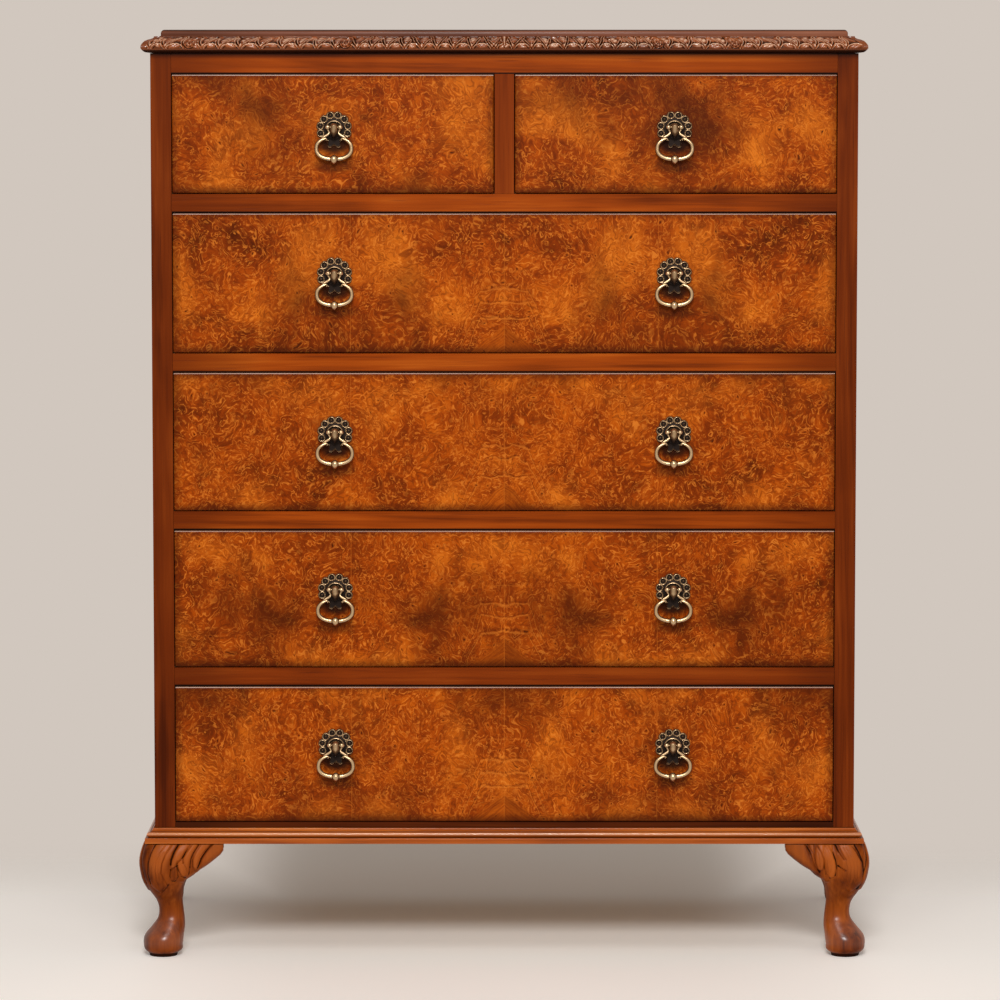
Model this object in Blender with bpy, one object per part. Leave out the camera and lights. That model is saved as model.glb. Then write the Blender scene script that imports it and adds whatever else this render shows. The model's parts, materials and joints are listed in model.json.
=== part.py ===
"""Chest of two short and four long drawers on cabriole legs, with drop-ring pulls.

Metres, +Z up, front towards -Y. The origin is on the floor, under the middle of the whole chest.
Every piece keeps TOUCH from its neighbours, and running pieces keep the clearances named below.
"""

import math

import bmesh
import bpy
from mathutils import Matrix, Vector
from mathutils.geometry import interpolate_bezier

# Carcass
CARCASS_WIDTH = 0.894
CARCASS_DEPTH = 0.460
SIDE_THICKNESS = 0.026
BACK_THICKNESS = 0.006
BACK_REBATE = 0.010
RAIL_HEIGHT = 0.0235
RAIL_DEPTH = 0.055
TOP_RAIL_HEIGHT = 0.0257
BOTTOM_RAIL_HEIGHT = 0.0272
DIVIDER_WIDTH = 0.0245
DIVIDER_GUIDE_HEIGHT = 0.020
RUNNER_WIDTH = 0.045
CENTRE_RUNNER_WIDTH = 0.090
DUST_PANEL_THICKNESS = 0.006
HOUSING_DEPTH = 0.006
STOP_LENGTH = 0.040
STOP_WIDTH = 0.016
STOP_HEIGHT = 0.006
STOP_INSET = 0.090

# Drawer openings, from the top row down
SHORT_OPENING = 0.1515
LONG_OPENING = 0.1785
LONG_OPENING_STEP = 0.001
LONG_DRAWERS = 4

# Top board in two steps, and the carved moulding round it
TOP_LOWER_STEP = 0.0213
TOP_UPPER_STEP = 0.0082
TOP_LIP = 0.0073
TOP_ROUND = 0.0022
MOULDING_LAP = 0.005
MOULDING_HEIGHT = 0.0171
NOSE_REACH = 0.0108
NOSE_RADIUS = 0.0068
NOSE_POINTS = 6

# Drawers
DRAWER_GAP = 0.0012
DRAWER_PROUD = 0.0025
FRONT_THICKNESS = 0.022
FRONT_ROUND = 0.0018
BOX_THICKNESS = 0.010
BOX_BACK_GAP = 0.012
BOX_TOP_GAP = 0.004
BACK_BOARD_DROP = 0.008
TAIL_LENGTH = 0.013
TAIL_PITCH = 0.043
TAIL_ROOT_SHARE = 0.50
TAIL_TIP_SHARE = 0.68
BOTTOM_THICKNESS = 0.005
BOTTOM_LIFT = 0.012
GROOVE_DEPTH = 0.004

# Legs
LEG_HEIGHT = 0.146
LEG_SIDES = 16
EAR_START = 0.012
EAR_BEND = 0.038
EAR_SET_IN = 0.0004
EAR_REACH = 0.0875
EAR_HEIGHT = 0.050
EAR_TIP_HEIGHT = 0.0085
EAR_BACK = 0.018
EAR_TIP_PROUD = 0.0095
EAR_EDGE_ROUND = 0.012
EAR_STEPS = 4
REAR_LEG_INSET = 0.024

# Base moulding: a flat band, a bead above it and a small cove
BAND_REACH = 0.0120
BAND_HEIGHT = 0.0080
BAND_CHAMFER = 0.0010
BEAD_REACH = 0.0096
BEAD_HEIGHT = 0.0078
COVE_REACH = 0.0042
COVE_HEIGHT = 0.0047
COVE_TOP_REACH = 0.0015

# Pulls, measured from the pivot of the ring
PULL_X = 0.2150
PULL_RISE_SHORT = 0.0085
PULL_RISE_LONG = 0.0128
PIVOT_PROUD = 0.0105
PLATE_RADIUS = 0.0228
PLATE_PETALS = 8
PLATE_PETAL_DEPTH = 0.0034
PLATE_PETAL_START = math.radians(-33)
PLATE_TAIL_HALF_WIDTH = 0.0086
PLATE_TAIL_DROP = 0.0240
PLATE_THICKNESS = 0.0022
PLATE_DROP = 0.0024
BOSS_RADIUS = 0.0100
BOSS_TOP_RADIUS = 0.0066
BOSS_HEIGHT = 0.0030
KNUCKLE_WIDTH = 0.0088
KNUCKLE_FRONT = 0.0060
KNUCKLE_TOP = 0.0046
KNUCKLE_TIP = 0.0138
SHANK_RADIUS = 0.0022
NUT_RADIUS = 0.0062
NUT_THICKNESS = 0.0035
BAIL_RADIUS = 0.0022
BAIL_PIN_RADIUS = 0.0013
BAIL_PIN_START = 0.0012
BAIL_EAR_X = 0.0082
BAIL_EAR_RADIUS = 0.0030
RING_HALF_WIDTH = 0.0221
RING_HALF_HEIGHT = 0.0136
RING_SQUARENESS = 2.3
RING_OPEN = math.radians(60)
RING_CLOSE = math.radians(-68)
RING_STEPS = 7
RING_DROP = 0.0266
BALL_RADIUS = 0.0046
BALL_HALF_LENGTH = 0.0042

# Clearances
TOUCH = 0.0003
PIN_CLEARANCE = 0.0003
HOLE_CLEARANCE = 0.0006

# Cabriole leg, from the floor up: share of its height, reach of the outer face beyond the
# carcass face, depth of the inner face behind it, and squareness of the section (2 is round)
LEG_STATIONS = (
    (0.000, 0.0070, 0.0275, 2.0),
    (0.030, 0.0088, 0.0295, 2.0),
    (0.041, 0.0106, 0.0318, 2.0),
    (0.105, 0.0140, 0.0345, 2.0),
    (0.185, 0.0126, 0.0361, 2.0),
    (0.247, 0.0070, 0.0372, 2.1),
    (0.315, -0.0024, 0.0370, 2.2),
    (0.404, -0.0060, 0.0356, 2.3),
    (0.479, -0.0040, 0.0343, 2.4),
    (0.568, 0.0034, 0.0348, 2.6),
    (0.664, 0.0128, 0.0375, 3.0),
    (0.753, 0.0172, 0.0410, 3.4),
    (0.849, 0.0188, 0.0430, 3.6),
    (0.938, 0.0164, 0.0430, 3.6),
    (1.000, 0.0132, 0.0430, 3.6),
)
# The rear legs share the knee; their ankle and small foot sweep out under it
REAR_LEG_STATIONS = (
    (0.000, 0.0168, 0.0050, 2.0),
    (0.035, 0.0184, 0.0062, 2.0),
    (0.105, 0.0188, 0.0072, 2.0),
    (0.190, 0.0164, 0.0118, 2.0),
    (0.260, 0.0116, 0.0174, 2.1),
    (0.340, 0.0066, 0.0236, 2.2),
    (0.430, 0.0026, 0.0288, 2.3),
    (0.510, 0.0012, 0.0326, 2.5),
    (0.580, 0.0040, 0.0350, 2.6),
) + LEG_STATIONS[-5:]
KNEE_REACH = max(station[1] for station in LEG_STATIONS)

# Places worked out from the sizes above
FRONT_REACH = max(KNEE_REACH, DRAWER_PROUD + PIVOT_PROUD + KNUCKLE_FRONT)
FRONT_Y = (FRONT_REACH - CARCASS_DEPTH) / 2
BACK_Y = FRONT_Y + CARCASS_DEPTH
HALF_WIDTH = CARCASS_WIDTH / 2
HALF_OPENING = HALF_WIDTH - SIDE_THICKNESS
BASE_Z = LEG_HEIGHT + TOUCH
LONG_OPENINGS = [LONG_OPENING - LONG_OPENING_STEP * i for i in range(LONG_DRAWERS)]
LOWEST_OPENING_Z = BASE_Z + BOTTOM_RAIL_HEIGHT
TOP_ROW_Z = LOWEST_OPENING_Z + sum(LONG_OPENINGS) + RAIL_HEIGHT * LONG_DRAWERS
TOP_RAIL_Z = TOP_ROW_Z + SHORT_OPENING
TOP_Z = TOP_RAIL_Z + TOP_RAIL_HEIGHT + TOUCH
INNER_BACK_Y = BACK_Y - BACK_THICKNESS
SIDE_DROP = DRAWER_GAP - TOUCH
HOLE_RADIUS = SHANK_RADIUS + HOLE_CLEARANCE


def remove_everything():
    for obj in list(bpy.data.objects):
        bpy.data.objects.remove(obj)


def finish(name, colour, roughness, metallic=0.0):
    """A plain material in the piece's own colour."""
    material = bpy.data.materials.new(name)
    material.use_nodes = True
    shader = material.node_tree.nodes["Principled BSDF"]
    shader.inputs["Base Color"].default_value = (*colour, 1.0)
    shader.inputs["Roughness"].default_value = roughness
    shader.inputs["Metallic"].default_value = metallic
    return material


def object_of(name, work, material):
    """Turns a bmesh into a named object with its faces pointing out."""
    bmesh.ops.recalc_face_normals(work, faces=work.faces)
    mesh = bpy.data.meshes.new(name)
    work.to_mesh(mesh)
    work.free()
    mesh.shade_smooth()
    mesh.set_sharp_from_angle(angle=math.radians(35))
    obj = bpy.data.objects.new(name, mesh)
    obj.data.materials.append(material)
    bpy.context.scene.collection.objects.link(obj)
    return obj


def block(low, high):
    """A bmesh block between two corners."""
    work = bmesh.new()
    size = Vector(high) - Vector(low)
    middle = (Vector(high) + Vector(low)) / 2
    place_and_size = Matrix.Translation(middle) @ Matrix.Diagonal((*size, 1.0))
    bmesh.ops.create_cube(work, size=1.0, matrix=place_and_size)
    return work


def box(name, low, high, material):
    return object_of(name, block(low, high), material)


def in_space(axis, along, u, v):
    """A point of an outline at a place along X, Y or Z; (u, v) are the other two axes in order."""
    return {"X": (along, u, v), "Y": (u, along, v), "Z": (u, v, along)}[axis]


def prism(name, outline, axis, start, end, material):
    """An outline extruded along one axis."""
    work = bmesh.new()
    corners = [work.verts.new(in_space(axis, start, u, v)) for u, v in outline]
    face = work.faces.new(corners)
    grown = bmesh.ops.extrude_face_region(work, geom=[face])["geom"]
    moved = [item for item in grown if isinstance(item, bmesh.types.BMVert)]
    step = Vector(in_space(axis, end - start, 0.0, 0.0))
    bmesh.ops.translate(work, verts=moved, vec=step)
    return object_of(name, work, material)


def loft(name, rings, material):
    """A skin through rings of equal point counts, with both ends capped."""
    work = bmesh.new()
    loops = [[work.verts.new(point) for point in ring] for ring in rings]
    count = len(loops[0])
    for lower, upper in zip(loops, loops[1:]):
        for i in range(count):
            j = (i + 1) % count
            work.faces.new((lower[i], lower[j], upper[j], upper[i]))
    work.faces.new(loops[0])
    work.faces.new(loops[-1])
    return object_of(name, work, material)


def join(obj, other, operation):
    """A Boolean modifier on obj; the other piece stays as its hidden operand."""
    modifier = obj.modifiers.new(operation.lower() + " " + other.name, "BOOLEAN")
    modifier.object = other
    modifier.operation = operation
    modifier.solver = "EXACT"
    other.hide_render = True
    other.display_type = "WIRE"
    return obj


def cylinder(name, radius, start, end, sides, material):
    """A round bar along Y, centred on X = Z = 0."""
    turns = [2 * math.pi * (i + 0.5) / sides for i in range(sides)]
    outline = [(radius * math.cos(turn), radius * math.sin(turn)) for turn in turns]
    return prism(name, outline, "Y", start, end, material)


def solid_mesh(obj):
    """The mesh of obj with its modifiers worked in, for pieces that are repeated."""
    bpy.context.view_layer.update()
    graph = bpy.context.evaluated_depsgraph_get()
    mesh = bpy.data.meshes.new_from_object(obj.evaluated_get(graph))
    mesh.name = obj.name
    return mesh


def place(name, mesh, location, parent):
    obj = bpy.data.objects.new(name, mesh)
    obj.location = location
    obj.parent = parent
    bpy.context.scene.collection.objects.link(obj)
    return obj


def group(name, location=(0.0, 0.0, 0.0)):
    empty = bpy.data.objects.new(name, None)
    empty.location = location
    bpy.context.scene.collection.objects.link(empty)
    return empty


def adopt(pieces, parent):
    for piece in pieces:
        piece.parent = parent


remove_everything()
POLISHED_WALNUT = finish("polished walnut", (0.30, 0.105, 0.028), 0.32)
BURR_VENEER = finish("burr veneer", (0.46, 0.165, 0.030), 0.22)
CARVED_WALNUT = finish("carved walnut", (0.27, 0.095, 0.030), 0.38)
DRAWER_LINING = finish("drawer lining", (0.52, 0.33, 0.17), 0.60)
PLYWOOD = finish("plywood", (0.42, 0.27, 0.14), 0.70)
AGED_BRASS = finish("aged brass", (0.52, 0.40, 0.24), 0.35, 1.0)


# Carcass sides, housed for the dust frames and rebated for the back


def runner_levels():
    """The lowest point of each dust frame and its height, from the bottom frame up."""
    levels = [(BASE_Z, BOTTOM_RAIL_HEIGHT)]
    z = LOWEST_OPENING_Z
    for opening in reversed(LONG_OPENINGS):
        z += opening
        levels.append((z, RAIL_HEIGHT))
        z += RAIL_HEIGHT
    return levels


def side(name, sign):
    inner = HALF_OPENING
    near, far = sorted((sign * inner, sign * HALF_WIDTH))
    board = box(name, (near, FRONT_Y, BASE_Z), (far, BACK_Y, TOP_Z - TOUCH), POLISHED_WALNUT)
    below = BASE_Z - SIDE_THICKNESS
    comb = [(sign * (inner - SIDE_THICKNESS), below), (sign * (inner - TOUCH), below)]
    for low, height in runner_levels():
        for reach, z in (
            (-TOUCH, low - TOUCH),
            (HOUSING_DEPTH, low - TOUCH),
            (HOUSING_DEPTH, low + height + TOUCH),
            (-TOUCH, low + height + TOUCH),
        ):
            comb.append((sign * (inner + reach), z))
    comb.append((sign * (inner - SIDE_THICKNESS), TOP_ROW_Z + SIDE_THICKNESS))
    behind = BACK_Y + BACK_THICKNESS
    housings = prism(name + "_housings", comb, "Y", FRONT_Y + RAIL_DEPTH, behind, DRAWER_LINING)
    near, far = sorted((sign * (inner - BACK_REBATE), sign * (inner + BACK_REBATE)))
    low = (near, INNER_BACK_Y - TOUCH, BASE_Z - BACK_REBATE)
    rebate = box(name + "_rebate", low, (far, behind, TOP_Z + BACK_REBATE), DRAWER_LINING)
    join(board, housings, "DIFFERENCE")
    return join(board, rebate, "DIFFERENCE")


# Rails between the sides, with the drawer stops glued on them


def rail(name, low, height, stop_places):
    half = HALF_OPENING - TOUCH
    rear_y = FRONT_Y + RAIL_DEPTH - TOUCH
    bar = box(name, (-half, FRONT_Y, low), (half, rear_y, low + height), POLISHED_WALNUT)
    stop_y = FRONT_Y - DRAWER_PROUD + FRONT_THICKNESS + TOUCH
    for number, x in enumerate(stop_places):
        stop = box(
            f"{name}_stop_{number}",
            (x - STOP_LENGTH / 2, stop_y, low + height - STOP_HEIGHT),
            (x + STOP_LENGTH / 2, stop_y + STOP_WIDTH, low + height + STOP_HEIGHT),
            POLISHED_WALNUT,
        )
        join(bar, stop, "UNION")
    return bar


def dust_frame(name, low, height, with_centre):
    """Runners glued to a thin panel, seen along Y: the runners stand in the housings of the sides."""
    outer = HALF_OPENING + HOUSING_DEPTH - TOUCH
    inner = HALF_OPENING - RUNNER_WIDTH
    middle = low + height / 2
    panel_top = middle + DUST_PANEL_THICKNESS / 2
    panel_low = middle - DUST_PANEL_THICKNESS / 2
    half_top = [(inner, panel_top), (inner, low + height), (outer, low + height)]
    half_low = [(outer, low), (inner, low), (inner, panel_low)]
    if with_centre:
        centre = CENTRE_RUNNER_WIDTH / 2
        half_top = [(centre, low + height), (centre, panel_top), *half_top]
        half_low = [*half_low, (centre, panel_low), (centre, low)]
    right = half_top + half_low
    left = [(-x, z) for x, z in reversed(right)]
    return prism(name, right + left, "Y", FRONT_Y + RAIL_DEPTH, INNER_BACK_Y - TOUCH, DRAWER_LINING)


def divider():
    """Upright between the short drawers, with the guide that runs back behind it."""
    low = TOP_ROW_Z + TOUCH
    high = TOP_RAIL_Z - TOUCH
    outline = [
        (FRONT_Y, low),
        (INNER_BACK_Y - TOUCH, low),
        (INNER_BACK_Y - TOUCH, low + DIVIDER_GUIDE_HEIGHT),
        (FRONT_Y + RAIL_DEPTH, low + DIVIDER_GUIDE_HEIGHT),
        (FRONT_Y + RAIL_DEPTH, high),
        (FRONT_Y, high),
    ]
    return prism("drawer_divider", outline, "X", -DIVIDER_WIDTH / 2, DIVIDER_WIDTH / 2, POLISHED_WALNUT)


def back_panel():
    half = HALF_OPENING + BACK_REBATE - TOUCH
    return box("back_panel", (-half, INNER_BACK_Y, BASE_Z), (half, BACK_Y, TOP_Z - TOUCH), PLYWOOD)


# Top board, and the moulding that goes round its front and sides


def top_board():
    """Two steps back from the moulding, with a small round at the upper edge."""
    lip = MOULDING_LAP + TOUCH
    high = TOP_LOWER_STEP + TOP_UPPER_STEP
    profile = [(lip, 0.0), (lip, TOP_LOWER_STEP), (lip + TOP_LIP, TOP_LOWER_STEP)]
    for turn in (0.0, math.pi / 6, math.pi / 3, math.pi / 2):
        drop = TOP_ROUND * (1 - math.sin(turn))
        profile.append((lip + TOP_LIP + TOP_ROUND * (1 - math.cos(turn)), high - drop))
    rings = []
    for inset, height in profile:
        x = HALF_WIDTH - inset
        y = FRONT_Y + inset
        z = TOP_Z + height
        rings.append([(-x, y, z), (x, y, z), (x, BACK_Y, z), (-x, BACK_Y, z)])
    return loft("top_board", rings, POLISHED_WALNUT)


def moulding(name, profile, material):
    """A profile of (reach beyond the carcass, height) mitred round the front and both sides."""
    rings = [
        [(-HALF_WIDTH - reach, BACK_Y, z) for reach, z in profile],
        [(-HALF_WIDTH - reach, FRONT_Y - reach, z) for reach, z in profile],
        [(HALF_WIDTH + reach, FRONT_Y - reach, z) for reach, z in profile],
        [(HALF_WIDTH + reach, BACK_Y, z) for reach, z in profile],
    ]
    return loft(name, rings, material)


def top_moulding():
    """A full round nose, and a slope above it that climbs back to the top board."""
    outline = [(-MOULDING_LAP, 0.0)]
    for i in range(NOSE_POINTS):
        turn = math.radians(-90 + 150 * i / (NOSE_POINTS - 1))
        reach = NOSE_REACH - NOSE_RADIUS * (1 - math.cos(turn))
        outline.append((reach, NOSE_RADIUS * (1 + math.sin(turn))))
    outline.append((-MOULDING_LAP, MOULDING_HEIGHT))
    return moulding("top_moulding", [(reach, TOP_Z + z) for reach, z in outline], CARVED_WALNUT)


def base_moulding():
    """A chamfered band at the foot, a quarter-round bead above it and a hollow cove."""
    outline = [(TOUCH, 0.0), (BAND_REACH - BAND_CHAMFER, 0.0), (BAND_REACH, BAND_CHAMFER)]
    outline += [(BAND_REACH, BAND_HEIGHT - BAND_CHAMFER), (BAND_REACH - BAND_CHAMFER, BAND_HEIGHT)]
    quarter = [math.radians(turn) for turn in (0, 30, 60, 90)]
    bead_depth = BEAD_REACH - COVE_REACH
    bead_rise = BEAD_HEIGHT / 2
    outline.append((BEAD_REACH, BAND_HEIGHT))
    for turn in quarter:
        reach = COVE_REACH + bead_depth * math.cos(turn)
        outline.append((reach, BAND_HEIGHT + bead_rise * (1 + math.sin(turn))))
    cove_low = BAND_HEIGHT + BEAD_HEIGHT
    cove_depth = COVE_REACH - COVE_TOP_REACH
    for turn in quarter[1:]:
        reach = COVE_REACH - cove_depth * (1 - math.cos(turn))
        outline.append((reach, cove_low + COVE_HEIGHT * math.sin(turn)))
    outline.append((TOUCH, cove_low + COVE_HEIGHT))
    return moulding("base_moulding", [(reach, BASE_Z + z) for reach, z in outline], POLISHED_WALNUT)


# Cabriole legs with their knee blocks


def section(centre_x, centre_y, half_x, half_y, squareness, z):
    """A superellipse, its points spread by angle."""
    points = []
    for i in range(LEG_SIDES):
        angle = 2 * math.pi * i / LEG_SIDES
        c, s = math.cos(angle), math.sin(angle)
        size = (abs(c) ** squareness + abs(s) ** squareness) ** (-1 / squareness)
        points.append((centre_x + half_x * size * c, centre_y + half_y * size * s, z))
    return points


def knee_reach(z):
    """How far the leg's outer face stands beyond the carcass at a height, between stations."""
    share = z / LEG_HEIGHT
    for lower, upper in zip(LEG_STATIONS, LEG_STATIONS[1:]):
        if lower[0] <= share <= upper[0]:
            part = (share - lower[0]) / (upper[0] - lower[0])
            return lower[1] + (upper[1] - lower[1]) * part
    return LEG_STATIONS[-1][1]


def ear_rings():
    """Sections of a knee block from inside the leg out to its tip: (distance along, reach, height)."""
    alongs = [EAR_START] + [
        EAR_BEND + (EAR_REACH - EAR_BEND) * i / EAR_STEPS for i in range(EAR_STEPS + 1)
    ]
    rings = []
    for along in alongs:
        share = max(0.0, (along - EAR_BEND) / (EAR_REACH - EAR_BEND))
        blend = share * share * (3 - 2 * share)
        height = EAR_HEIGHT + (EAR_TIP_HEIGHT - EAR_HEIGHT) * share
        soften = min(EAR_EDGE_ROUND, height / 2)
        drops = [(0.0, 0.0), ((height - soften) / 2, 0.0)]
        for turn in (0.0, math.pi / 6, math.pi / 3, math.pi / 2):
            drops.append((height - soften * (1 - math.sin(turn)), soften * (1 - math.cos(turn))))
        ring = [(along, -EAR_BACK, LEG_HEIGHT)]
        for drop, cut in drops:
            z = LEG_HEIGHT - drop
            reach = (knee_reach(z) - EAR_SET_IN) * (1 - blend) + EAR_TIP_PROUD * blend
            ring.append((along, reach - cut, z))
        ring.append((along, -EAR_BACK, LEG_HEIGHT - height))
        rings.append(ring)
    return rings


def leg(name, sign, front):
    """One leg: the front pair turn out at the corner, the rear pair turn out to the side only."""
    rings = []
    for share, reach, depth, squareness in LEG_STATIONS if front else REAR_LEG_STATIONS:
        half = (reach + depth) / 2
        x = sign * (HALF_WIDTH + (reach - depth) / 2)
        y = FRONT_Y - (reach - depth) / 2
        half_y = half
        if not front:
            y = BACK_Y - REAR_LEG_INSET
            half_y = min(half, REAR_LEG_INSET - TOUCH)
        rings.append(section(x, y, half, half_y, squareness, share * LEG_HEIGHT))
    post = loft(name, rings, CARVED_WALNUT)
    face_y, towards = (FRONT_Y, 1) if front else (BACK_Y, -1)
    side_ear = [
        [(sign * (HALF_WIDTH + reach), face_y + towards * along, z) for along, reach, z in ring]
        for ring in ear_rings()
    ]
    join(post, loft(name + "_side_ear", side_ear, CARVED_WALNUT), "UNION")
    if front:
        front_ear = [
            [(sign * (HALF_WIDTH - along), FRONT_Y - reach, z) for along, reach, z in ring]
            for ring in ear_rings()
        ]
        join(post, loft(name + "_front_ear", front_ear, CARVED_WALNUT), "UNION")
    return post


# Drawers


def tails(root_y, low, high, grow):
    """The dovetailed front edge of a drawer side, from the top down; grow widens it for the sockets."""
    count = max(2, round((high - low) / TAIL_PITCH))
    pitch = (high - low) / count
    points = []
    for i in range(count):
        centre = high - pitch * (i + 0.5)
        root = pitch * TAIL_ROOT_SHARE / 2 + grow
        tip = pitch * TAIL_TIP_SHARE / 2 + grow
        points += [
            (root_y, centre + root),
            (root_y - TAIL_LENGTH - grow, centre + tip),
            (root_y - TAIL_LENGTH - grow, centre - tip),
            (root_y, centre - root),
        ]
    return points


def drawer_front(name, half, low, high, pulls, rise):
    """The veneered front, rounded at its face, socketed for the sides and grooved for the bottom."""
    face_y = FRONT_Y - DRAWER_PROUD
    inner_y = face_y + FRONT_THICKNESS
    work = block((-half, face_y, low), (half, inner_y, high))
    edges = [edge for edge in work.edges if all(vert.co.y < inner_y for vert in edge.verts)]
    bmesh.ops.bevel(work, geom=edges, offset=FRONT_ROUND, segments=2, profile=0.5, affect="EDGES")
    board = object_of(name, work, BURR_VENEER)
    edge_low = low - SIDE_DROP
    for sign in (-1, 1):
        comb = tails(inner_y, edge_low, high - BOX_TOP_GAP, TOUCH)
        comb += [(inner_y + TAIL_LENGTH, edge_low - TOUCH), (inner_y + TAIL_LENGTH, high)]
        outside = sign * (half + BOX_THICKNESS)
        inside = sign * (half - BOX_THICKNESS - TOUCH)
        sockets = prism(f"{name}_sockets_{sign}", comb, "X", outside, inside, DRAWER_LINING)
        join(board, sockets, "DIFFERENCE")
    groove_half = half - BOX_THICKNESS + GROOVE_DEPTH
    bottom = edge_low + BOTTOM_LIFT
    groove = box(
        name + "_groove",
        (-groove_half, inner_y - GROOVE_DEPTH, bottom - TOUCH),
        (groove_half, inner_y + GROOVE_DEPTH, bottom + BOTTOM_THICKNESS + TOUCH),
        DRAWER_LINING,
    )
    join(board, groove, "DIFFERENCE")
    start, end = face_y - FRONT_THICKNESS, inner_y + FRONT_THICKNESS
    for number, x in enumerate(pulls):
        hole = cylinder(f"{name}_hole_{number}", HOLE_RADIUS, start, end, 10, DRAWER_LINING)
        hole.location = (x, 0.0, (low + high) / 2 + rise)
        join(board, hole, "DIFFERENCE")
    return board


def drawer_box(name, half, low, high):
    """Both sides and the back board; the sides run on the runners and hold the bottom in a groove."""
    inner_y = FRONT_Y - DRAWER_PROUD + FRONT_THICKNESS
    rear_y = INNER_BACK_Y - BOX_BACK_GAP
    edge_low = low - SIDE_DROP
    edge_high = high - BOX_TOP_GAP
    inner = half - BOX_THICKNESS
    bottom_top = edge_low + BOTTOM_LIFT + BOTTOM_THICKNESS
    back = box(
        name,
        (-inner - BOX_THICKNESS / 2, rear_y - BOX_THICKNESS, bottom_top + TOUCH),
        (inner + BOX_THICKNESS / 2, rear_y - TOUCH, edge_high - BACK_BOARD_DROP),
        DRAWER_LINING,
    )
    start = inner_y + TOUCH
    outline = [(start, edge_high), *tails(start, edge_low, edge_high, 0.0), (start, edge_low)]
    outline += [(rear_y, edge_low), (rear_y, edge_high)]
    for sign in (-1, 1):
        outside, inside = sign * half, sign * inner
        side_board = prism(f"{name}_side_{sign}", outline, "X", outside, inside, DRAWER_LINING)
        join(back, side_board, "UNION")
    groove = box(
        name + "_groove",
        (-inner - GROOVE_DEPTH, inner_y - TAIL_LENGTH, bottom_top - BOTTOM_THICKNESS - TOUCH),
        (inner + GROOVE_DEPTH, rear_y + GROOVE_DEPTH, bottom_top + TOUCH),
        DRAWER_LINING,
    )
    return join(back, groove, "DIFFERENCE")


def drawer_bottom(name, half, low):
    inner_y = FRONT_Y - DRAWER_PROUD + FRONT_THICKNESS
    rear_y = INNER_BACK_Y - BOX_BACK_GAP
    reach = half - BOX_THICKNESS + GROOVE_DEPTH - TOUCH
    z = low - SIDE_DROP + BOTTOM_LIFT
    return box(
        name,
        (-reach, inner_y - GROOVE_DEPTH + TOUCH, z),
        (reach, rear_y - TOUCH, z + BOTTOM_THICKNESS),
        DRAWER_LINING,
    )


# Pulls, modelled round the pivot of the ring, facing -Y


def plate_outline():
    """Petals round the upper part, and a narrow tail with two lobes at the foot."""
    points = []
    pitch = (math.pi - 2 * PLATE_PETAL_START) / PLATE_PETALS
    for petal in range(PLATE_PETALS):
        for step in (0.0, 0.2, 0.5, 0.8):
            angle = PLATE_PETAL_START + pitch * (petal + step)
            swell = math.sqrt(math.sin(math.pi * step))
            radius = PLATE_RADIUS - PLATE_PETAL_DEPTH * (1 - swell)
            points.append((radius * math.cos(angle), radius * math.sin(angle)))
    notch = PLATE_RADIUS - PLATE_PETAL_DEPTH
    points.append((-notch * math.cos(PLATE_PETAL_START), notch * math.sin(PLATE_PETAL_START)))
    half, drop = PLATE_TAIL_HALF_WIDTH, PLATE_TAIL_DROP
    tail = [(0.80, 0.62), (1.0, 0.84), (0.86, 0.97), (0.52, 1.0)]
    points += [(-half * x, -drop * z) for x, z in tail]
    points.append((0.0, -drop + PLATE_PETAL_DEPTH))
    points += [(half * x, -drop * z) for x, z in reversed(tail)]
    return [(x, z - PLATE_DROP) for x, z in points]


def knuckle():
    """A rounded head over the pivot that narrows down to a beak, and runs back into the boss."""
    back_y = PIVOT_PROUD - PLATE_THICKNESS / 2 - TOUCH
    rings = []
    for z, width, front in (
        (-1.0, 0.22, 0.20),
        (-0.78, 0.60, 0.55),
        (-0.40, 0.90, 0.92),
        (0.08, 1.0, 1.0),
        (0.6, 0.94, 0.84),
        (1.0, 0.72, 0.45),
    ):
        height = z * (KNUCKLE_TOP if z > 0 else KNUCKLE_TIP)
        half = width * KNUCKLE_WIDTH / 2
        face_y = -front * KNUCKLE_FRONT
        shoulder_y = face_y * 0.4
        outline = [(half, back_y), (half, shoulder_y), (half / 2, face_y)]
        outline += [(-x, y) for x, y in reversed(outline)]
        rings.append([(x, y, height) for x, y in outline])
    return loft("pull_knuckle", rings, AGED_BRASS)


def pull_plate():
    """Petalled backplate, boss and knuckle, with the shank and nut that hold it to the drawer."""
    back_y = PIVOT_PROUD - TOUCH
    face_y = back_y - PLATE_THICKNESS
    plate = prism("pull_plate", plate_outline(), "Y", back_y, face_y, AGED_BRASS)
    turned = Matrix.Rotation(math.pi / 2, 4, "X")
    work = bmesh.new()
    bmesh.ops.create_cone(
        work,
        cap_ends=True,
        segments=12,
        radius1=BOSS_RADIUS,
        radius2=BOSS_TOP_RADIUS,
        depth=BOSS_HEIGHT + TOUCH,
        matrix=Matrix.Translation((0, face_y - BOSS_HEIGHT / 2 + TOUCH, 0)) @ turned,
    )
    join(plate, object_of("pull_boss", work, AGED_BRASS), "UNION")
    join(plate, knuckle(), "UNION")
    nut_y = PIVOT_PROUD + FRONT_THICKNESS + TOUCH
    root_y = back_y - PLATE_THICKNESS / 2
    shank_end = nut_y + NUT_THICKNESS + SHANK_RADIUS
    join(plate, cylinder("pull_shank", SHANK_RADIUS, root_y, shank_end, 8, AGED_BRASS), "UNION")
    join(plate, cylinder("pull_nut", NUT_RADIUS, nut_y, nut_y + NUT_THICKNESS, 6, AGED_BRASS), "UNION")
    hole_radius = BAIL_PIN_RADIUS + PIN_CLEARANCE
    hole = cylinder("pull_pin_hole", hole_radius, -KNUCKLE_WIDTH, KNUCKLE_WIDTH, 8, AGED_BRASS)
    hole.rotation_euler.z = math.pi / 2
    return join(plate, hole, "DIFFERENCE")


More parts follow.
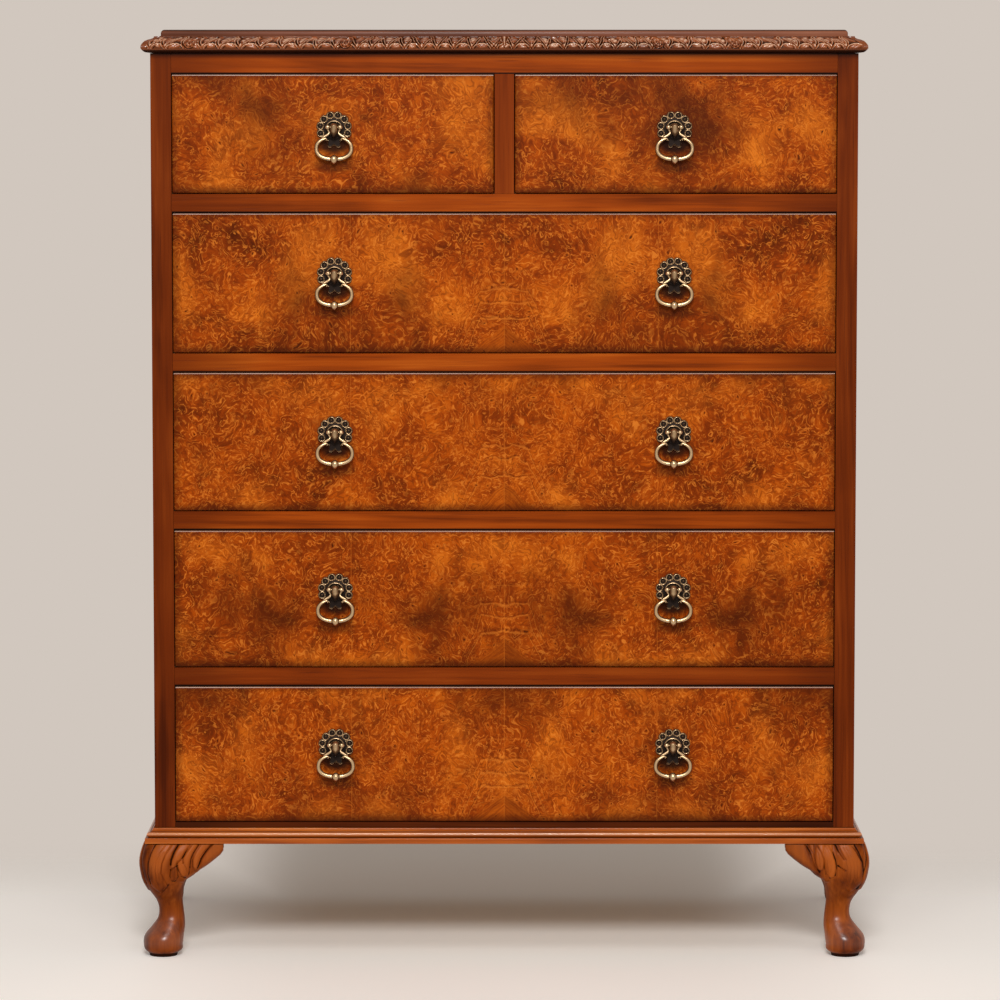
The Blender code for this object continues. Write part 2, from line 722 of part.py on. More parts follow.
def ring_point(angle):
    """A point of the drop ring, a superellipse a little squarer than an oval."""
    c, s = math.cos(angle), math.sin(angle)
    size = (abs(c) ** RING_SQUARENESS + abs(s) ** RING_SQUARENESS) ** (-1 / RING_SQUARENESS)
    return Vector((RING_HALF_WIDTH * size * c, 0.0, -RING_DROP + RING_HALF_HEIGHT * size * s))


def bail():
    """Ring bent from one bar: pins, ear balls, curled arms, and an oval ring with a ball below."""
    ear_radius = BAIL_EAR_RADIUS
    pin = [(BAIL_PIN_START, 0.0, BAIL_PIN_RADIUS), (BAIL_EAR_X - ear_radius, 0.0, BAIL_PIN_RADIUS)]
    ear = [
        (BAIL_EAR_X - 0.7 * ear_radius, 0.0, 0.8 * ear_radius),
        (BAIL_EAR_X + 0.2 * ear_radius, -0.3 * ear_radius, ear_radius),
        (BAIL_EAR_X + 0.3 * ear_radius, -1.2 * ear_radius, BAIL_RADIUS),
    ]
    start = ring_point(RING_OPEN)
    arm_top = Vector((BAIL_EAR_X, 0, -2.0 * ear_radius))
    arm_curve = interpolate_bezier(
        arm_top,
        arm_top + Vector((-0.4 * ear_radius, 0, -1.6 * ear_radius)),
        start + Vector((-1.8 * ear_radius, 0, 0.5 * ear_radius)),
        start,
        4,
    )
    arm = [(point.x, point.z, 0.9 * BAIL_RADIUS) for point in arm_curve]
    ring = []
    for i in range(1, RING_STEPS + 1):
        point = ring_point(RING_OPEN + (RING_CLOSE - RING_OPEN) * i / RING_STEPS)
        ring.append((point.x, point.z, BAIL_RADIUS))
    foot = -RING_DROP - RING_HALF_HEIGHT
    ball = [
        (1.1 * BALL_HALF_LENGTH, foot, 0.8 * BAIL_RADIUS),
        (0.55 * BALL_HALF_LENGTH, foot, 0.8 * BALL_RADIUS),
    ]
    right = pin + ear + arm + ring + ball
    path = right + [(0.0, foot, BALL_RADIUS)] + [(-x, z, radius) for x, z, radius in reversed(right)]
    curve = bpy.data.curves.new("bail", "CURVE")
    curve.dimensions = "3D"
    curve.bevel_depth = BAIL_RADIUS
    curve.bevel_resolution = 1
    curve.use_fill_caps = True
    spline = curve.splines.new("POLY")
    spline.points.add(len(path) - 1)
    for point, (x, z, radius) in zip(spline.points, path):
        point.co = (x, 0.0, z, 1.0)
        point.radius = radius / BAIL_RADIUS
    curve.materials.append(AGED_BRASS)
    obj = bpy.data.objects.new("bail", curve)
    bpy.context.scene.collection.objects.link(obj)
    obj.hide_render = True
    return obj


def make_carcass():
    carcass = group("carcass")
    pieces = [side("side_left", -1), side("side_right", 1), back_panel(), divider(), top_board()]
    pieces += [top_moulding(), base_moulding()]
    pieces.append(
        box(
            "top_rail",
            (-HALF_OPENING + TOUCH, FRONT_Y, TOP_RAIL_Z),
            (HALF_OPENING - TOUCH, FRONT_Y + RAIL_DEPTH, TOP_RAIL_Z + TOP_RAIL_HEIGHT),
            POLISHED_WALNUT,
        )
    )
    levels = runner_levels()
    for number, (low, height) in enumerate(levels):
        from_top = len(levels) - number
        carries_short = from_top == 1
        stops = [-HALF_OPENING + STOP_INSET, HALF_OPENING - STOP_INSET]
        if carries_short:
            stops += [-STOP_INSET, STOP_INSET]
        rail_name = f"rail_{from_top}" if number else "bottom_rail"
        frame_name = f"dust_frame_{from_top}" if number else "bottom_frame"
        pieces.append(rail(rail_name, low, height, stops))
        pieces.append(dust_frame(frame_name, low, height, carries_short))
    for name, sign, front in (
        ("leg_front_left", -1, True),
        ("leg_front_right", 1, True),
        ("leg_rear_left", -1, False),
        ("leg_rear_right", 1, False),
    ):
        pieces.append(leg(name, sign, front))
    adopt(pieces, carcass)


def make_drawer(name, span, pulls, rise, plate_mesh, bail_mesh):
    """One drawer; span is its centre, half width, lower and upper edge, pulls the places of its pulls."""
    centre_x, half, low, high = span
    drawer = group(name, (centre_x, 0.0, 0.0))
    pieces = [
        drawer_front(name + "_front", half, low, high, [x - centre_x for x in pulls.values()], rise),
        drawer_box(name + "_box", half, low, high),
        drawer_bottom(name + "_bottom", half, low),
    ]
    adopt(pieces, drawer)
    for helper in bpy.context.scene.objects:
        if helper.hide_render and helper.parent is None and helper.name.startswith(name + "_"):
            helper.parent = drawer
    for pull, x in pulls.items():
        pivot = (x - centre_x, FRONT_Y - DRAWER_PROUD - PIVOT_PROUD, (low + high) / 2 + rise)
        place(pull + "_plate", plate_mesh, pivot, drawer)
        place(pull + "_bail", bail_mesh, pivot, drawer)


def make_drawers():
    plate_master = pull_plate()
    plate_mesh = solid_mesh(plate_master)
    plate_master.hide_render = True
    bail_mesh = solid_mesh(bail())
    short_half = (HALF_OPENING - DIVIDER_WIDTH / 2) / 2 - DRAWER_GAP
    short_centre = (HALF_OPENING + DIVIDER_WIDTH / 2) / 2
    low = TOP_ROW_Z + DRAWER_GAP
    high = TOP_RAIL_Z - DRAWER_GAP
    for word, sign in (("left", -1), ("right", 1)):
        name = f"top_{word}_drawer"
        pulls = {f"top_{word}_pull": sign * PULL_X}
        span = (sign * short_centre, short_half, low, high)
        make_drawer(name, span, pulls, PULL_RISE_SHORT, plate_mesh, bail_mesh)
    z = TOP_ROW_Z - RAIL_HEIGHT
    for number, opening in enumerate(LONG_OPENINGS, start=1):
        name = f"long_{number}_drawer"
        pulls = {f"long_{number}_left_pull": -PULL_X, f"long_{number}_right_pull": PULL_X}
        low = z - opening + DRAWER_GAP
        high = z - DRAWER_GAP
        span = (0.0, HALF_OPENING - DRAWER_GAP, low, high)
        make_drawer(name, span, pulls, PULL_RISE_LONG, plate_mesh, bail_mesh)
        z -= opening + RAIL_HEIGHT


make_carcass()
make_drawers()
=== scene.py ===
import json
import math

import bpy
import numpy as np
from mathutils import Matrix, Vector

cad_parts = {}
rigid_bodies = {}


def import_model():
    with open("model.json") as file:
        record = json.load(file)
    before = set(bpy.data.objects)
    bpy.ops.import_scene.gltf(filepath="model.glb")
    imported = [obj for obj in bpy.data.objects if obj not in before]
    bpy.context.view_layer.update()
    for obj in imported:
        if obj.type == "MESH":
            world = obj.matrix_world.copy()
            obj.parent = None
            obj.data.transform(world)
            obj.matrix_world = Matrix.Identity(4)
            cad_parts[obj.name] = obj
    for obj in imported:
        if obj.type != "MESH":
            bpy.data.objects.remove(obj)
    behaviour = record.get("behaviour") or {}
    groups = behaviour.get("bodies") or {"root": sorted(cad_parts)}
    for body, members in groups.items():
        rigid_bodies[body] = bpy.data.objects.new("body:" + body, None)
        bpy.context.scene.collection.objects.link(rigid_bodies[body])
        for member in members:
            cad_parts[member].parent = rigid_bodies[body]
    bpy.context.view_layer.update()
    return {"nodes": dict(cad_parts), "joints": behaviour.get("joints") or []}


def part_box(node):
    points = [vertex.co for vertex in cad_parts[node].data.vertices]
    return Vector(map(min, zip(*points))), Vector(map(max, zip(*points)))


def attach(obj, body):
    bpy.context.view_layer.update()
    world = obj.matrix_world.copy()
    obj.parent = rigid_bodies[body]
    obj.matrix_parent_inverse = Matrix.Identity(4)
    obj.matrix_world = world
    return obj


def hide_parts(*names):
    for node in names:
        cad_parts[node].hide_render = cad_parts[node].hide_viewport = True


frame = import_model()


# Legs
# Cabriole legs of walnut under the four corners. Each front leg has two knee blocks glued to it, carved
# with it on the knee with leaves that run down from under the base moulding. The rear pair is plain.

MM = 0.001
HALF_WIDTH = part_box("side_right")[1][0]
FRONT_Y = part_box("side_left")[0][1]
BACK_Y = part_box("side_left")[1][1]
LEG_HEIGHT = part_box("leg_front_left")[1][2]

# Share of the height, reach beyond the carcass and depth inside it (mm), squareness of the section
LEG_STATIONS = np.array([
    (0.0, 8.0, 27.0, 2.0), (0.030, 10.2, 28.8, 2.0), (0.041, 12.4, 31.4, 2.0), (0.105, 16.0, 34.2, 2.0),
    (0.185, 14.0, 35.6, 2.0), (0.247, 6.4, 36.6, 2.1), (0.315, -1.2, 36.2, 2.2), (0.404, -3.4, 34.8, 2.3),
    (0.479, -0.8, 33.8, 2.4), (0.568, 7.2, 34.8, 2.6), (0.664, 14.4, 37.5, 3.0), (0.753, 17.6, 41.0, 3.4),
    (0.849, 18.8, 43.0, 3.6), (0.938, 16.4, 43.0, 3.6), (1.0, 13.2, 43.0, 3.6),
])
# The rear legs are plain: below the knee they sweep out to the sides only, to a small foot
REAR_LEG_STATIONS = np.concatenate([[
    (0.0, 16.8, 5.0, 2.0), (0.035, 18.4, 6.2, 2.0), (0.105, 18.8, 7.2, 2.0), (0.190, 16.4, 11.8, 2.0),
    (0.260, 11.6, 17.4, 2.1), (0.340, 6.6, 23.6, 2.2), (0.430, 2.6, 28.8, 2.3), (0.510, 1.2, 32.6, 2.5),
    (0.580, 4.0, 35.0, 2.6),
], LEG_STATIONS[-5:]])
# Front to back a rear leg is a plain post: its middle and the most of its half depth (mm)
REAR_MIDDLE, REAR_HALF = 24.0, 23.7
# Lower edge of a knee block, or ear: height above the floor and distance from the carcass corner (mm)
EAR_EDGE = np.array([
    (97, 37), (99.9, 39.7), (106.3, 50), (112.7, 56.4), (119, 66.6), (125.5, 75.5), (132, 83), (138, 87),
])
# Height of that edge at the post, and the heights between which the ear grows out of the post (mm)
EAR_FOOT, EAR_START, EAR_FULL = 96.0, 93.0, 98.5
# Where the ear bends and ends, how far its tip stands proud, its depth, rounding and fillet (mm)
EAR_BEND, EAR_TIP, EAR_TIP_PROUD, EAR_BACK, EAR_ROUND, FILLET = 38.0, 87.0, 9.5, 18.0, 10.0, 3.0
# Heights of the sole's edge, of the darker ankle, and of the knee's lower and upper end (mm)
SOLE, ANKLE, KNEE_LOW, KNEE_HIGH = 3.8, 80.0, 98.0, 134.0


def skin(name, grid, body, material=None, marks=None):
    """A closed mesh over a grid of points (rows, columns, xyz). The columns join up round the piece, the
    first and last row are closed by a flat face each, and all faces are turned outwards if the volume
    that they enclose, a third of the sum of point times face normal, comes out negative. Several grids
    make one mesh. marks gives one number per point, kept as the attribute "mark"."""
    grids = grid if isinstance(grid, list) else [grid]
    points, faces, start = [], [], 0
    for part in grids:
        rows, columns = part.shape[:2]
        index = start + np.arange(rows * columns).reshape(rows, columns)
        beside = np.roll(index, -1, axis=1)
        squares = np.stack([index[:-1], beside[:-1], beside[1:], index[1:]], axis=-1).reshape(-1, 4)
        corner = part.reshape(-1, 3)
        a, b, c, d = (corner[squares[:, k] - start] for k in range(4))
        enclosed = np.sum(np.cross(b - a, c - a) * a) + np.sum(np.cross(c - a, d - a) * a)
        caps = [index[0][::-1].tolist(), index[-1].tolist()]
        if enclosed < 0:
            squares, caps = squares[:, ::-1], [cap[::-1] for cap in caps]
        points.append(corner)
        faces += squares.tolist() + caps
        start += rows * columns
    mesh = bpy.data.meshes.new(name)
    mesh.from_pydata(np.concatenate(points), [], faces)
    mesh.polygons.foreach_set("use_smooth", np.ones(len(faces), bool))
    if marks is not None:
        attribute = mesh.attributes.new("mark", "FLOAT", "POINT")
        attribute.data.foreach_set("value", np.concatenate([m.ravel() for m in marks]).astype(np.float32))
    mesh.update()
    piece = bpy.data.objects.new(name, mesh)
    bpy.context.scene.collection.objects.link(piece)
    if material:
        mesh.materials.append(material)
    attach(piece, body)
    return piece


def through(x, places, values):
    """A smooth curve through stations: on each span the cubic that meets both stations, with the slope
    at each the mean of its neighbouring spans' slopes."""
    slopes = np.gradient(values, places)
    k = np.clip(np.searchsorted(places, x, side="right") - 1, 0, len(places) - 2)
    span = places[k + 1] - places[k]
    t = np.clip((x - places[k]) / span, 0, 1)
    rest = 1 - t
    ends = values[k] * (1 + 2 * t) * rest**2 + values[k + 1] * t * t * (3 - 2 * t)
    return ends + span * (slopes[k] * t * rest**2 - slopes[k + 1] * t * t * rest)


def ease(x, low, high):
    """0 below low, 1 above high, and 3t^2 - 2t^3 between them."""
    t = np.clip((x - low) / (high - low), 0, 1)
    return t * t * (3 - 2 * t)


def bell(x, middle, width):
    """1 at the middle, falling off to both sides: e to the power of -s squared, s being 1 at the width."""
    return np.exp(-(((x - middle) / width) ** 2))


def trace_distance(along, height, line):
    """Distance of every point (along, height) from a line through given points: for each of its
    stretches the distance from the nearest point on it, and of these the least."""
    nearest = np.full(np.broadcast(along, height).shape, 1e9)
    for (x0, z0), (x1, z1) in zip(line, line[1:]):
        run, rise = x1 - x0, z1 - z0
        share = np.clip(((along - x0) * run + (height - z0) * rise) / (run * run + rise * rise), 0, 1)
        nearest = np.minimum(nearest, np.hypot(along - x0 - share * run, height - z0 - share * rise))
    return nearest


# Carving of each knee, as drawn on its face and repeated on its side. Leaves, from the corner inwards:
# heights, middle line and half width there (mm), and crest
KNEE_LEAVES = {"right": [
    ([84, 88, 92, 96, 105, 114, 122, 133, 150], [5.0, 4.4, 3.2, 2.4, 5.0, 5.0, 4.8, 8.0, 12.4],
     [0, 4.6, 8.2, 11.2, 16.2, 15.8, 14.6, 12.6, 10.6], 1.9),
    ([102.8, 104.5, 108, 112, 122, 131, 140, 150], [29.8, 30, 30.4, 30.5, 31.3, 33.3, 33.9, 33.0],
     [0, 3.6, 6.0, 7.4, 7.6, 6.8, 5.6, 5.0], 1.9),
    ([112.4, 114, 117, 123, 130, 138, 150], [43.4, 43.6, 44, 44.6, 44.4, 44.2, 42.5],
     [0, 2.6, 4.4, 6.0, 6.6, 6.4, 5.4], 1.7),
    ([110, 112.5, 116, 122, 128, 136, 150], [46, 47.5, 49.8, 51.6, 53.0, 54.0, 56.0],
     [0, 1.4, 1.8, 2.2, 2.6, 3.0, 4.4], 1.1),
    ([110.6, 112.5, 116, 122, 128, 136, 150], [47.5, 50.6, 57, 64.5, 70.5, 75, 78.5],
     [0, 4.0, 7.6, 11.6, 14.6, 16.4, 16.4], 1.3),
], "left": [
    ([82.4, 86, 89, 95, 101, 109, 116, 123, 136, 150], [7.9, 7.5, 6.9, 6.7, 6.2, 5.6, 6.0, 6.8, 10.4, 18.5],
     [0, 4.0, 7.2, 11.5, 12.6, 14.0, 14.0, 14.6, 14.5, 14.5], 1.9),
    ([115.5, 118, 123, 130, 136, 150], [23.5, 24.5, 25.5, 29.8, 32.5, 42],
     [0, 3.0, 3.8, 6.0, 7.0, 7.6], 1.7),
    ([98.6, 100, 103, 108, 114, 119, 121], [24.2, 24.4, 25, 25.2, 25.2, 25, 25],
     [0, 2.6, 4.4, 5.0, 4.2, 3.0, 0], 1.2),
    ([103.6, 105, 109, 114, 122, 130, 137, 150], [39.4, 39.2, 38.2, 38.2, 37.6, 41.8, 45.2, 53],
     [0, 3.0, 5.6, 7.2, 8.1, 5.2, 5.0, 5.0], 1.9),
    ([111, 112.5, 118, 124, 130, 137, 150], [56.2, 55.0, 52.8, 53.6, 55.4, 59.2, 68],
     [0, 2.0, 3.6, 4.6, 6.0, 7.0, 8.2], 1.6),
    ([108, 112, 118, 124, 130, 137, 150], [52, 58.5, 64.5, 69.5, 74.5, 79, 86],
     [0, 5.5, 8.5, 11, 13.5, 14.5, 14], 1.3),
]}
# Cuts between and on the leaves: points (distance from the corner, height), half width and depth (mm)
KNEE_CUTS = {"right": [
    ([(0.6, 147), (-5.6, 136.5), (-10.9, 124), (-12.2, 111), (-9.2, 94), (-4, 88)], 0.75, 1.5),
    ([(5.6, 147), (-3.0, 136.5), (-8.6, 125.5), (-9.4, 118)], 0.6, 1.1),
    ([(25.0, 147), (19.8, 137.1), (13.2, 127.8)], 0.8, 1.9),
    ([(21.6, 147), (16.0, 136), (10.6, 127.4)], 0.65, 1.3),
    ([(20.8, 120), (16.4, 116.4), (11.4, 113.2)], 1.0, 1.8),
    ([(14.5, 143), (7.6, 131), (4.2, 118), (4.6, 104), (5.6, 94)], 0.4, 0.55),
    ([(10.6, 143), (3.0, 131), (-0.6, 118), (0.4, 104), (3.2, 93)], 0.4, 0.55),
    ([(6.8, 139), (-0.8, 129), (-4.6, 117), (-3.6, 104), (0.6, 94)], 0.4, 0.5),
    ([(11.2, 126), (8.4, 117), (9.4, 106), (8.6, 97)], 0.4, 0.5),
    ([(15.6, 108), (12.6, 101)], 0.4, 0.4),
    ([(34.4, 147), (28.6, 138), (24.4, 128), (23.0, 117), (24.6, 107)], 0.8, 1.4),
    ([(38.4, 147), (33.4, 138), (30.0, 128), (29.6, 118), (30.2, 111)], 0.45, 0.7),
    ([(35.2, 128), (34.2, 119), (33.2, 112)], 0.4, 0.5),
    ([(48.6, 147), (42.0, 136.5), (38.6, 127), (38.4, 118), (36.2, 109), (31, 103.6)], 0.8, 1.3),
    ([(46.5, 137), (44.4, 126), (43.8, 118)], 0.45, 0.6),
    ([(63.4, 147), (56.6, 137), (53.4, 126), (50.0, 117), (44.4, 111)], 0.85, 1.5),
    ([(60.2, 147), (51.8, 134), (49.4, 124), (47.4, 116), (43.6, 112.4)], 0.6, 1.0),
], "left": [
    ([(1.9, 147), (-4.2, 134.7), (-7.8, 122.4), (-8.4, 108.9), (-4.8, 95.3)], 0.75, 1.5),
    ([(15.2, 147), (7.9, 137.1), (2.5, 126.1), (1.3, 113.8), (3.1, 99), (7.9, 86.7)], 0.5, 0.9),
    ([(23.1, 147), (14.6, 134.7), (9.8, 122.4), (8.5, 110.1), (11.6, 101.5), (16.4, 94.1)], 0.8, 1.5),
    ([(9.4, 139), (2.0, 131), (-3.0, 119), (-3.6, 106), (-0.4, 94)], 0.4, 0.45),
    ([(12.4, 137), (5.4, 126), (4.4, 112), (6.6, 100)], 0.4, 0.45),
    ([(18.2, 95.3), (14.0, 89.2), (7.9, 82.4)], 0.7, 0.9),
    ([(31.4, 147), (24.9, 135.9), (21.3, 127.3), (21.0, 121)], 1.2, 2.2),
    ([(29.6, 120), (24.9, 116.8), (21.0, 114.4)], 0.8, 1.4),
    ([(21.3, 115), (20, 106.4), (22.5, 99.4), (26.1, 99), (30.3, 105.2), (29.1, 113.8), (28.8, 119)],
     0.6, 1.1),
    ([(26.6, 112), (24.6, 105)], 0.4, 0.4),
    ([(29.7, 126.1), (29.1, 122.4), (31, 113.8), (34.6, 106.4), (39.4, 103.6), (43.9, 108.9), (45.6, 118)],
     0.7, 1.2),
    ([(48.3, 147), (40.6, 137.1), (36.4, 129.8), (37.0, 123.6)], 1.1, 2.0),
    ([(37.0, 123.6), (40.6, 117.7), (42.4, 111)], 0.5, 0.8),
    ([(57.4, 147), (50.3, 135.9), (46.9, 128.5), (45.5, 118)], 0.55, 1.1),
    ([(60.2, 147), (52.6, 135.9), (49.2, 127.3), (49.0, 118.7), (52.8, 112.6)], 0.55, 1.0),
    ([(74.2, 147), (64.9, 135.9), (60.0, 128.5), (57.6, 121), (54.6, 115)], 1.1, 2.1),
    ([(66.0, 141), (57.6, 131), (54.4, 121)], 0.4, 0.5),
]}


def knee_carving(along, height, side):
    """Rise of the carved surface (mm) at a distance from the corner and a height: of all leaves the
    highest, less every cut, which is a bell curve of the distance from its line. A leaf's back is its
    crest times 1 - s^2 to a low power, s being -1 to 1 across it, and tilts towards the corner."""
    rise = np.zeros(np.broadcast(along, height).shape)
    for heights, middles, halves, crest in KNEE_LEAVES[side]:
        middle = through(height, np.array(heights, float), np.array(middles, float))
        half = np.maximum(through(height, np.array(heights, float), np.array(halves, float)), 0.02)
        on_leaf = (height > heights[0]) & (height < heights[-1])
        share = np.clip((along - middle) / half, -1, 1) * on_leaf
        back = (1 - share**2) ** 0.42 * (1 - 0.3 * share) * on_leaf
        rise = np.maximum(rise, crest * back * ease(height, heights[0], heights[0] + 3))
    for line, half, depth in KNEE_CUTS[side]:
        cut = bell(trace_distance(along, height, line), 0, half)
        rise -= 0.85 * depth * cut * ease(height, ANKLE, ANKLE + 6)
    return rise


def squircle(turn, squareness):
    """A point of the unit superellipse |x|^n + |y|^n = 1 in the direction of an angle."""
    c, s = np.cos(turn), np.sin(turn)
    size = (np.abs(c) ** squareness + np.abs(s) ** squareness) ** (-1 / squareness)
    return c * size, s * size


def half_section(height, middle, half, squareness, has_ear, counts):
    """Half of a leg's outline at each height, in mm, from the outer corner round one face to the inner
    corner: the superellipse of the post, or where there is a knee block the higher of the post's face
    and the block's, which runs out to its tip and back behind it. middle and half are pairs, along the
    face and across it; across is counted inwards from the carcass's face."""
    corner_count, face_count, back_count = counts
    (mid_along, mid_across), (half_along, half_across) = middle, half
    reach = half_across - mid_across

    def on_post(degrees):
        x, y = squircle(np.radians(degrees)[None, :], squareness)
        return mid_along + half_along * x, mid_across + half_across * y

    corner = on_post(np.linspace(-135, -90, corner_count))
    share = np.linspace(0, 1, face_count + 1)[None, 1:]
    face_along, face_across = on_post(-90 + 60 * share[0])
    inner_share = np.linspace(0, 1, back_count + 1)[None, 1:]
    inner_along, inner_across = on_post(-30 + 75 * inner_share[0])
    if has_ear:
        end = np.interp(height, *EAR_EDGE.T)
        spread = 0.6 * share + 0.4 * np.sin(share * math.pi / 2)
        along = mid_along + (end - mid_along) * spread
        edge = np.interp(along, *EAR_EDGE.T[::-1], left=EAR_FOOT, right=EAR_EDGE[-1, 0])
        edge = np.where(along >= EAR_TIP - 0.01, EAR_EDGE[-1, 0], edge)
        blend = ease(along, EAR_BEND, EAR_TIP)
        soften = np.minimum(EAR_ROUND, (LEG_HEIGHT / MM - edge) / 2)
        drop = 1 - np.clip((height - edge) / soften, 0, 1)
        block = reach * (1 - blend) + EAR_TIP_PROUD * blend - soften * (1 - np.sqrt(1 - drop**2))
        over = np.clip(1 - (np.abs(along - mid_along) / half_along) ** squareness, 0, 1)
        post = half_across * over ** (1 / squareness) - mid_across
        meet = np.clip(1 - np.abs(block - post) / FILLET, 0, 1) * ease(along, mid_along, mid_along + 14)
        face = np.maximum(block, post) + FILLET / 4 * meet**2
        s = np.clip((EAR_BACK - mid_across) / half_across, 0, 0.98)
        root = np.minimum(mid_along + half_along * (1 - s**squareness) ** (1 / squareness), end)
        turn = np.arctan2((EAR_BACK - mid_across) / half_across, (root - mid_along) / half_along)
        to_back = np.clip(inner_share / 0.25, 0, 1)
        to_root = np.clip((inner_share - 0.25) / 0.4, 0, 1)
        to_corner = np.clip((inner_share - 0.65) / 0.35, 0, 1)
        x, y = squircle(turn + (math.pi / 4 - turn) * to_corner, squareness)
        bent = to_corner > 0
        back_along = np.where(bent, mid_along + half_along * x, end + (root - end) * to_root)
        back_across = -face[:, -1:] + (EAR_BACK + face[:, -1:]) * to_back
        back_across = np.where(bent, mid_across + half_across * y, back_across)
        weight = ease(height, EAR_START, EAR_FULL)
        face_along = face_along + (along - face_along) * weight
        face_across = face_across + (-face - face_across) * weight
        inner_along = inner_along + (back_along - inner_along) * weight
        inner_across = inner_across + (back_across - inner_across) * weight
    return (np.concatenate([corner[0], face_along, inner_along], axis=1),
            np.concatenate([corner[1], face_across, inner_across], axis=1))


def leg(node, side, front, heights, counts, material):
    """A leg as rows of outlines, one above the other. The carving lifts each point square to its
    outline, by what the knee's pattern says for its distance from the corner and its height. The mark
    follows the carving, its crests counting for less towards the knee's lower end, which paints shade
    there, less a bell curve round the ankle and a step at the sole that paints the shade under the foot."""
    sign = 1 if side == "right" else -1
    height = heights[:, None]
    share = height / (LEG_HEIGHT / MM)
    stations = LEG_STATIONS if front else REAR_LEG_STATIONS
    reach, depth, squareness = (through(share, stations[:, 0], stations[:, k]) for k in (1, 2, 3))
    middle, half = (depth - reach) / 2, (depth + reach) / 2
    across = (middle, half) if front else (REAR_MIDDLE + 0 * middle, np.minimum(half, REAR_HALF))
    face = half_section(height, (middle, across[0]), (half, across[1]), squareness, front, counts)
    flank = half_section(height, (across[0], middle), (across[1], half), squareness, True, counts)
    inward = np.concatenate([face[0][:, ::-1], flank[1][:, 1:-1]], axis=1)
    behind = np.concatenate([face[1][:, ::-1], flank[0][:, 1:-1]], axis=1)
    carved = np.zeros_like(inward)
    if front:
        lifted = np.concatenate([face[0][:, ::-1], flank[0][:, 1:-1]], axis=1)
        outer = sum(counts[:2])
        inner = face[0].shape[1] - outer
        columns = np.arange(inward.shape[1])
        shown = (columns >= inner) & (columns < inward.shape[1] - inner + 1)
        carved = knee_carving(lifted, height, side) * shown
        run = np.roll(inward, -1, 1) - np.roll(inward, 1, 1)
        rise = np.roll(behind, -1, 1) - np.roll(behind, 1, 1)
        length = np.maximum(np.hypot(run, rise), 1e-6)
        inward, behind = inward - carved * rise / length, behind + carved * run / length
    away = 1 if front else -1
    grid = np.stack([
        sign * (HALF_WIDTH - MM * inward),
        (FRONT_Y if front else BACK_Y) + away * MM * behind,
        np.broadcast_to(MM * height, inward.shape),
    ], axis=-1)
    # Painted shade: the crests' mark fades towards the knee's lower end, and the step at the sole darkens
    # the pad under the foot.
    worn = np.where(carved > 0, carved * (0.75 - 0.4 * ease(height, KNEE_HIGH, KNEE_LOW)), carved)
    mark = 0.3 + worn - 1.6 * ease(height, SOLE + 1, SOLE) - 0.25 * bell(height, ANKLE, 20)
    piece = skin(node + "_carved" if front else node + "_shaped", grid, "root", material, [mark])
    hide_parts(node)


class Socket:
    """One output of a shader tree. An expression such as 1 - mask * 0.5 adds a Math node for each sign."""

    def __init__(self, tree, output=None):
        self.tree, self.output = tree, output

    def node(self, kind, settings=None, sockets=None, output=0):
        """Adds a node. Its settings are set first, a ramp's stops among them as (place, colour) pairs,
        then its sockets by name or number, each to a value or linked to another Socket."""
        node = self.tree.nodes.new("ShaderNode" + kind)
        for key, value in (settings or {}).items():
            if key == "stops":
                while len(node.color_ramp.elements) < len(value):
                    node.color_ramp.elements.new(1.0)
                for stop, (place, colour) in zip(node.color_ramp.elements, value):
                    stop.position, stop.color = place, colour
            else:
                setattr(node, key, value)
        for key, value in (sockets or {}).items():
            if isinstance(value, Socket):
                self.tree.links.new(value.output, node.inputs[key])
            else:
                node.inputs[key].default_value = value
        return Socket(self.tree, node.outputs[output] if node.outputs else None)

    def math(self, operation, *terms):
        return self.node("Math", {"operation": operation}, dict(enumerate(terms)))

    def __add__(self, other):
        return self.math("ADD", self, other)

    def __sub__(self, other):
        return self.math("SUBTRACT", self, other)

    def __rsub__(self, other):
        return self.math("SUBTRACT", other, self)

    def __mul__(self, other):
        return self.math("MULTIPLY", self, other)

    def __truediv__(self, other):
        return self.math("DIVIDE", self, other)

    def __rtruediv__(self, other):
        return self.math("DIVIDE", other, self)

    def __abs__(self):
        return self.math("ABSOLUTE", self)

    __radd__, __rmul__ = __add__, __mul__

    def sine(self):
        return self.math("SINE", self)

    def most(self, other):
        """The greater of two numbers."""
        return self.math("MAXIMUM", self, other)

    def step(self, low, high):
        """0 below low, 1 above high and a smooth step between; low may be the greater of the two."""
        return self.node("MapRange", {"interpolation_type": "SMOOTHSTEP"},
                         {"Value": self, "From Min": low, "From Max": high})

    def between(self, low, high):
        """The colour that lies this far from low to high; either may be a Socket."""
        return self.node("Mix", {"data_type": "RGBA"}, {0: self, 6: low, 7: high}, output=2)

    def part(self, axis):
        """One of the X, Y, Z of a vector."""
        return self.node("SeparateXYZ", {}, {0: self}, output=axis)

    def length(self):
        return self.node("VectorMath", {"operation": "LENGTH"}, {0: self}, output=1)

    def moved(self, other, operation="ADD"):
        return self.node("VectorMath", {"operation": operation}, {0: self, 1: other})

    def scaled(self, scale):
        return self.node("Mapping", {}, {"Vector": self, "Scale": scale})

    def noise(self, scale, detail=2.0, roughness=0.5, distortion=0.0, output=0):
        return self.node("TexNoise", {}, {"Vector": self, "Scale": scale, "Detail": detail,
                                          "Roughness": roughness, "Distortion": distortion}, output)


def tint(red, green, blue):
    """A colour read off on the usual scale of 0 to 255, as the linear light that shaders reckon with:
    the share to the power 2.4 after a shift, or a twelfth of it when very dark."""
    shares = (red / 255, green / 255, blue / 255)
    return tuple(c / 12.92 if c <= 0.04045 else ((c + 0.055) / 1.055) ** 2.4 for c in shares) + (1.0,)


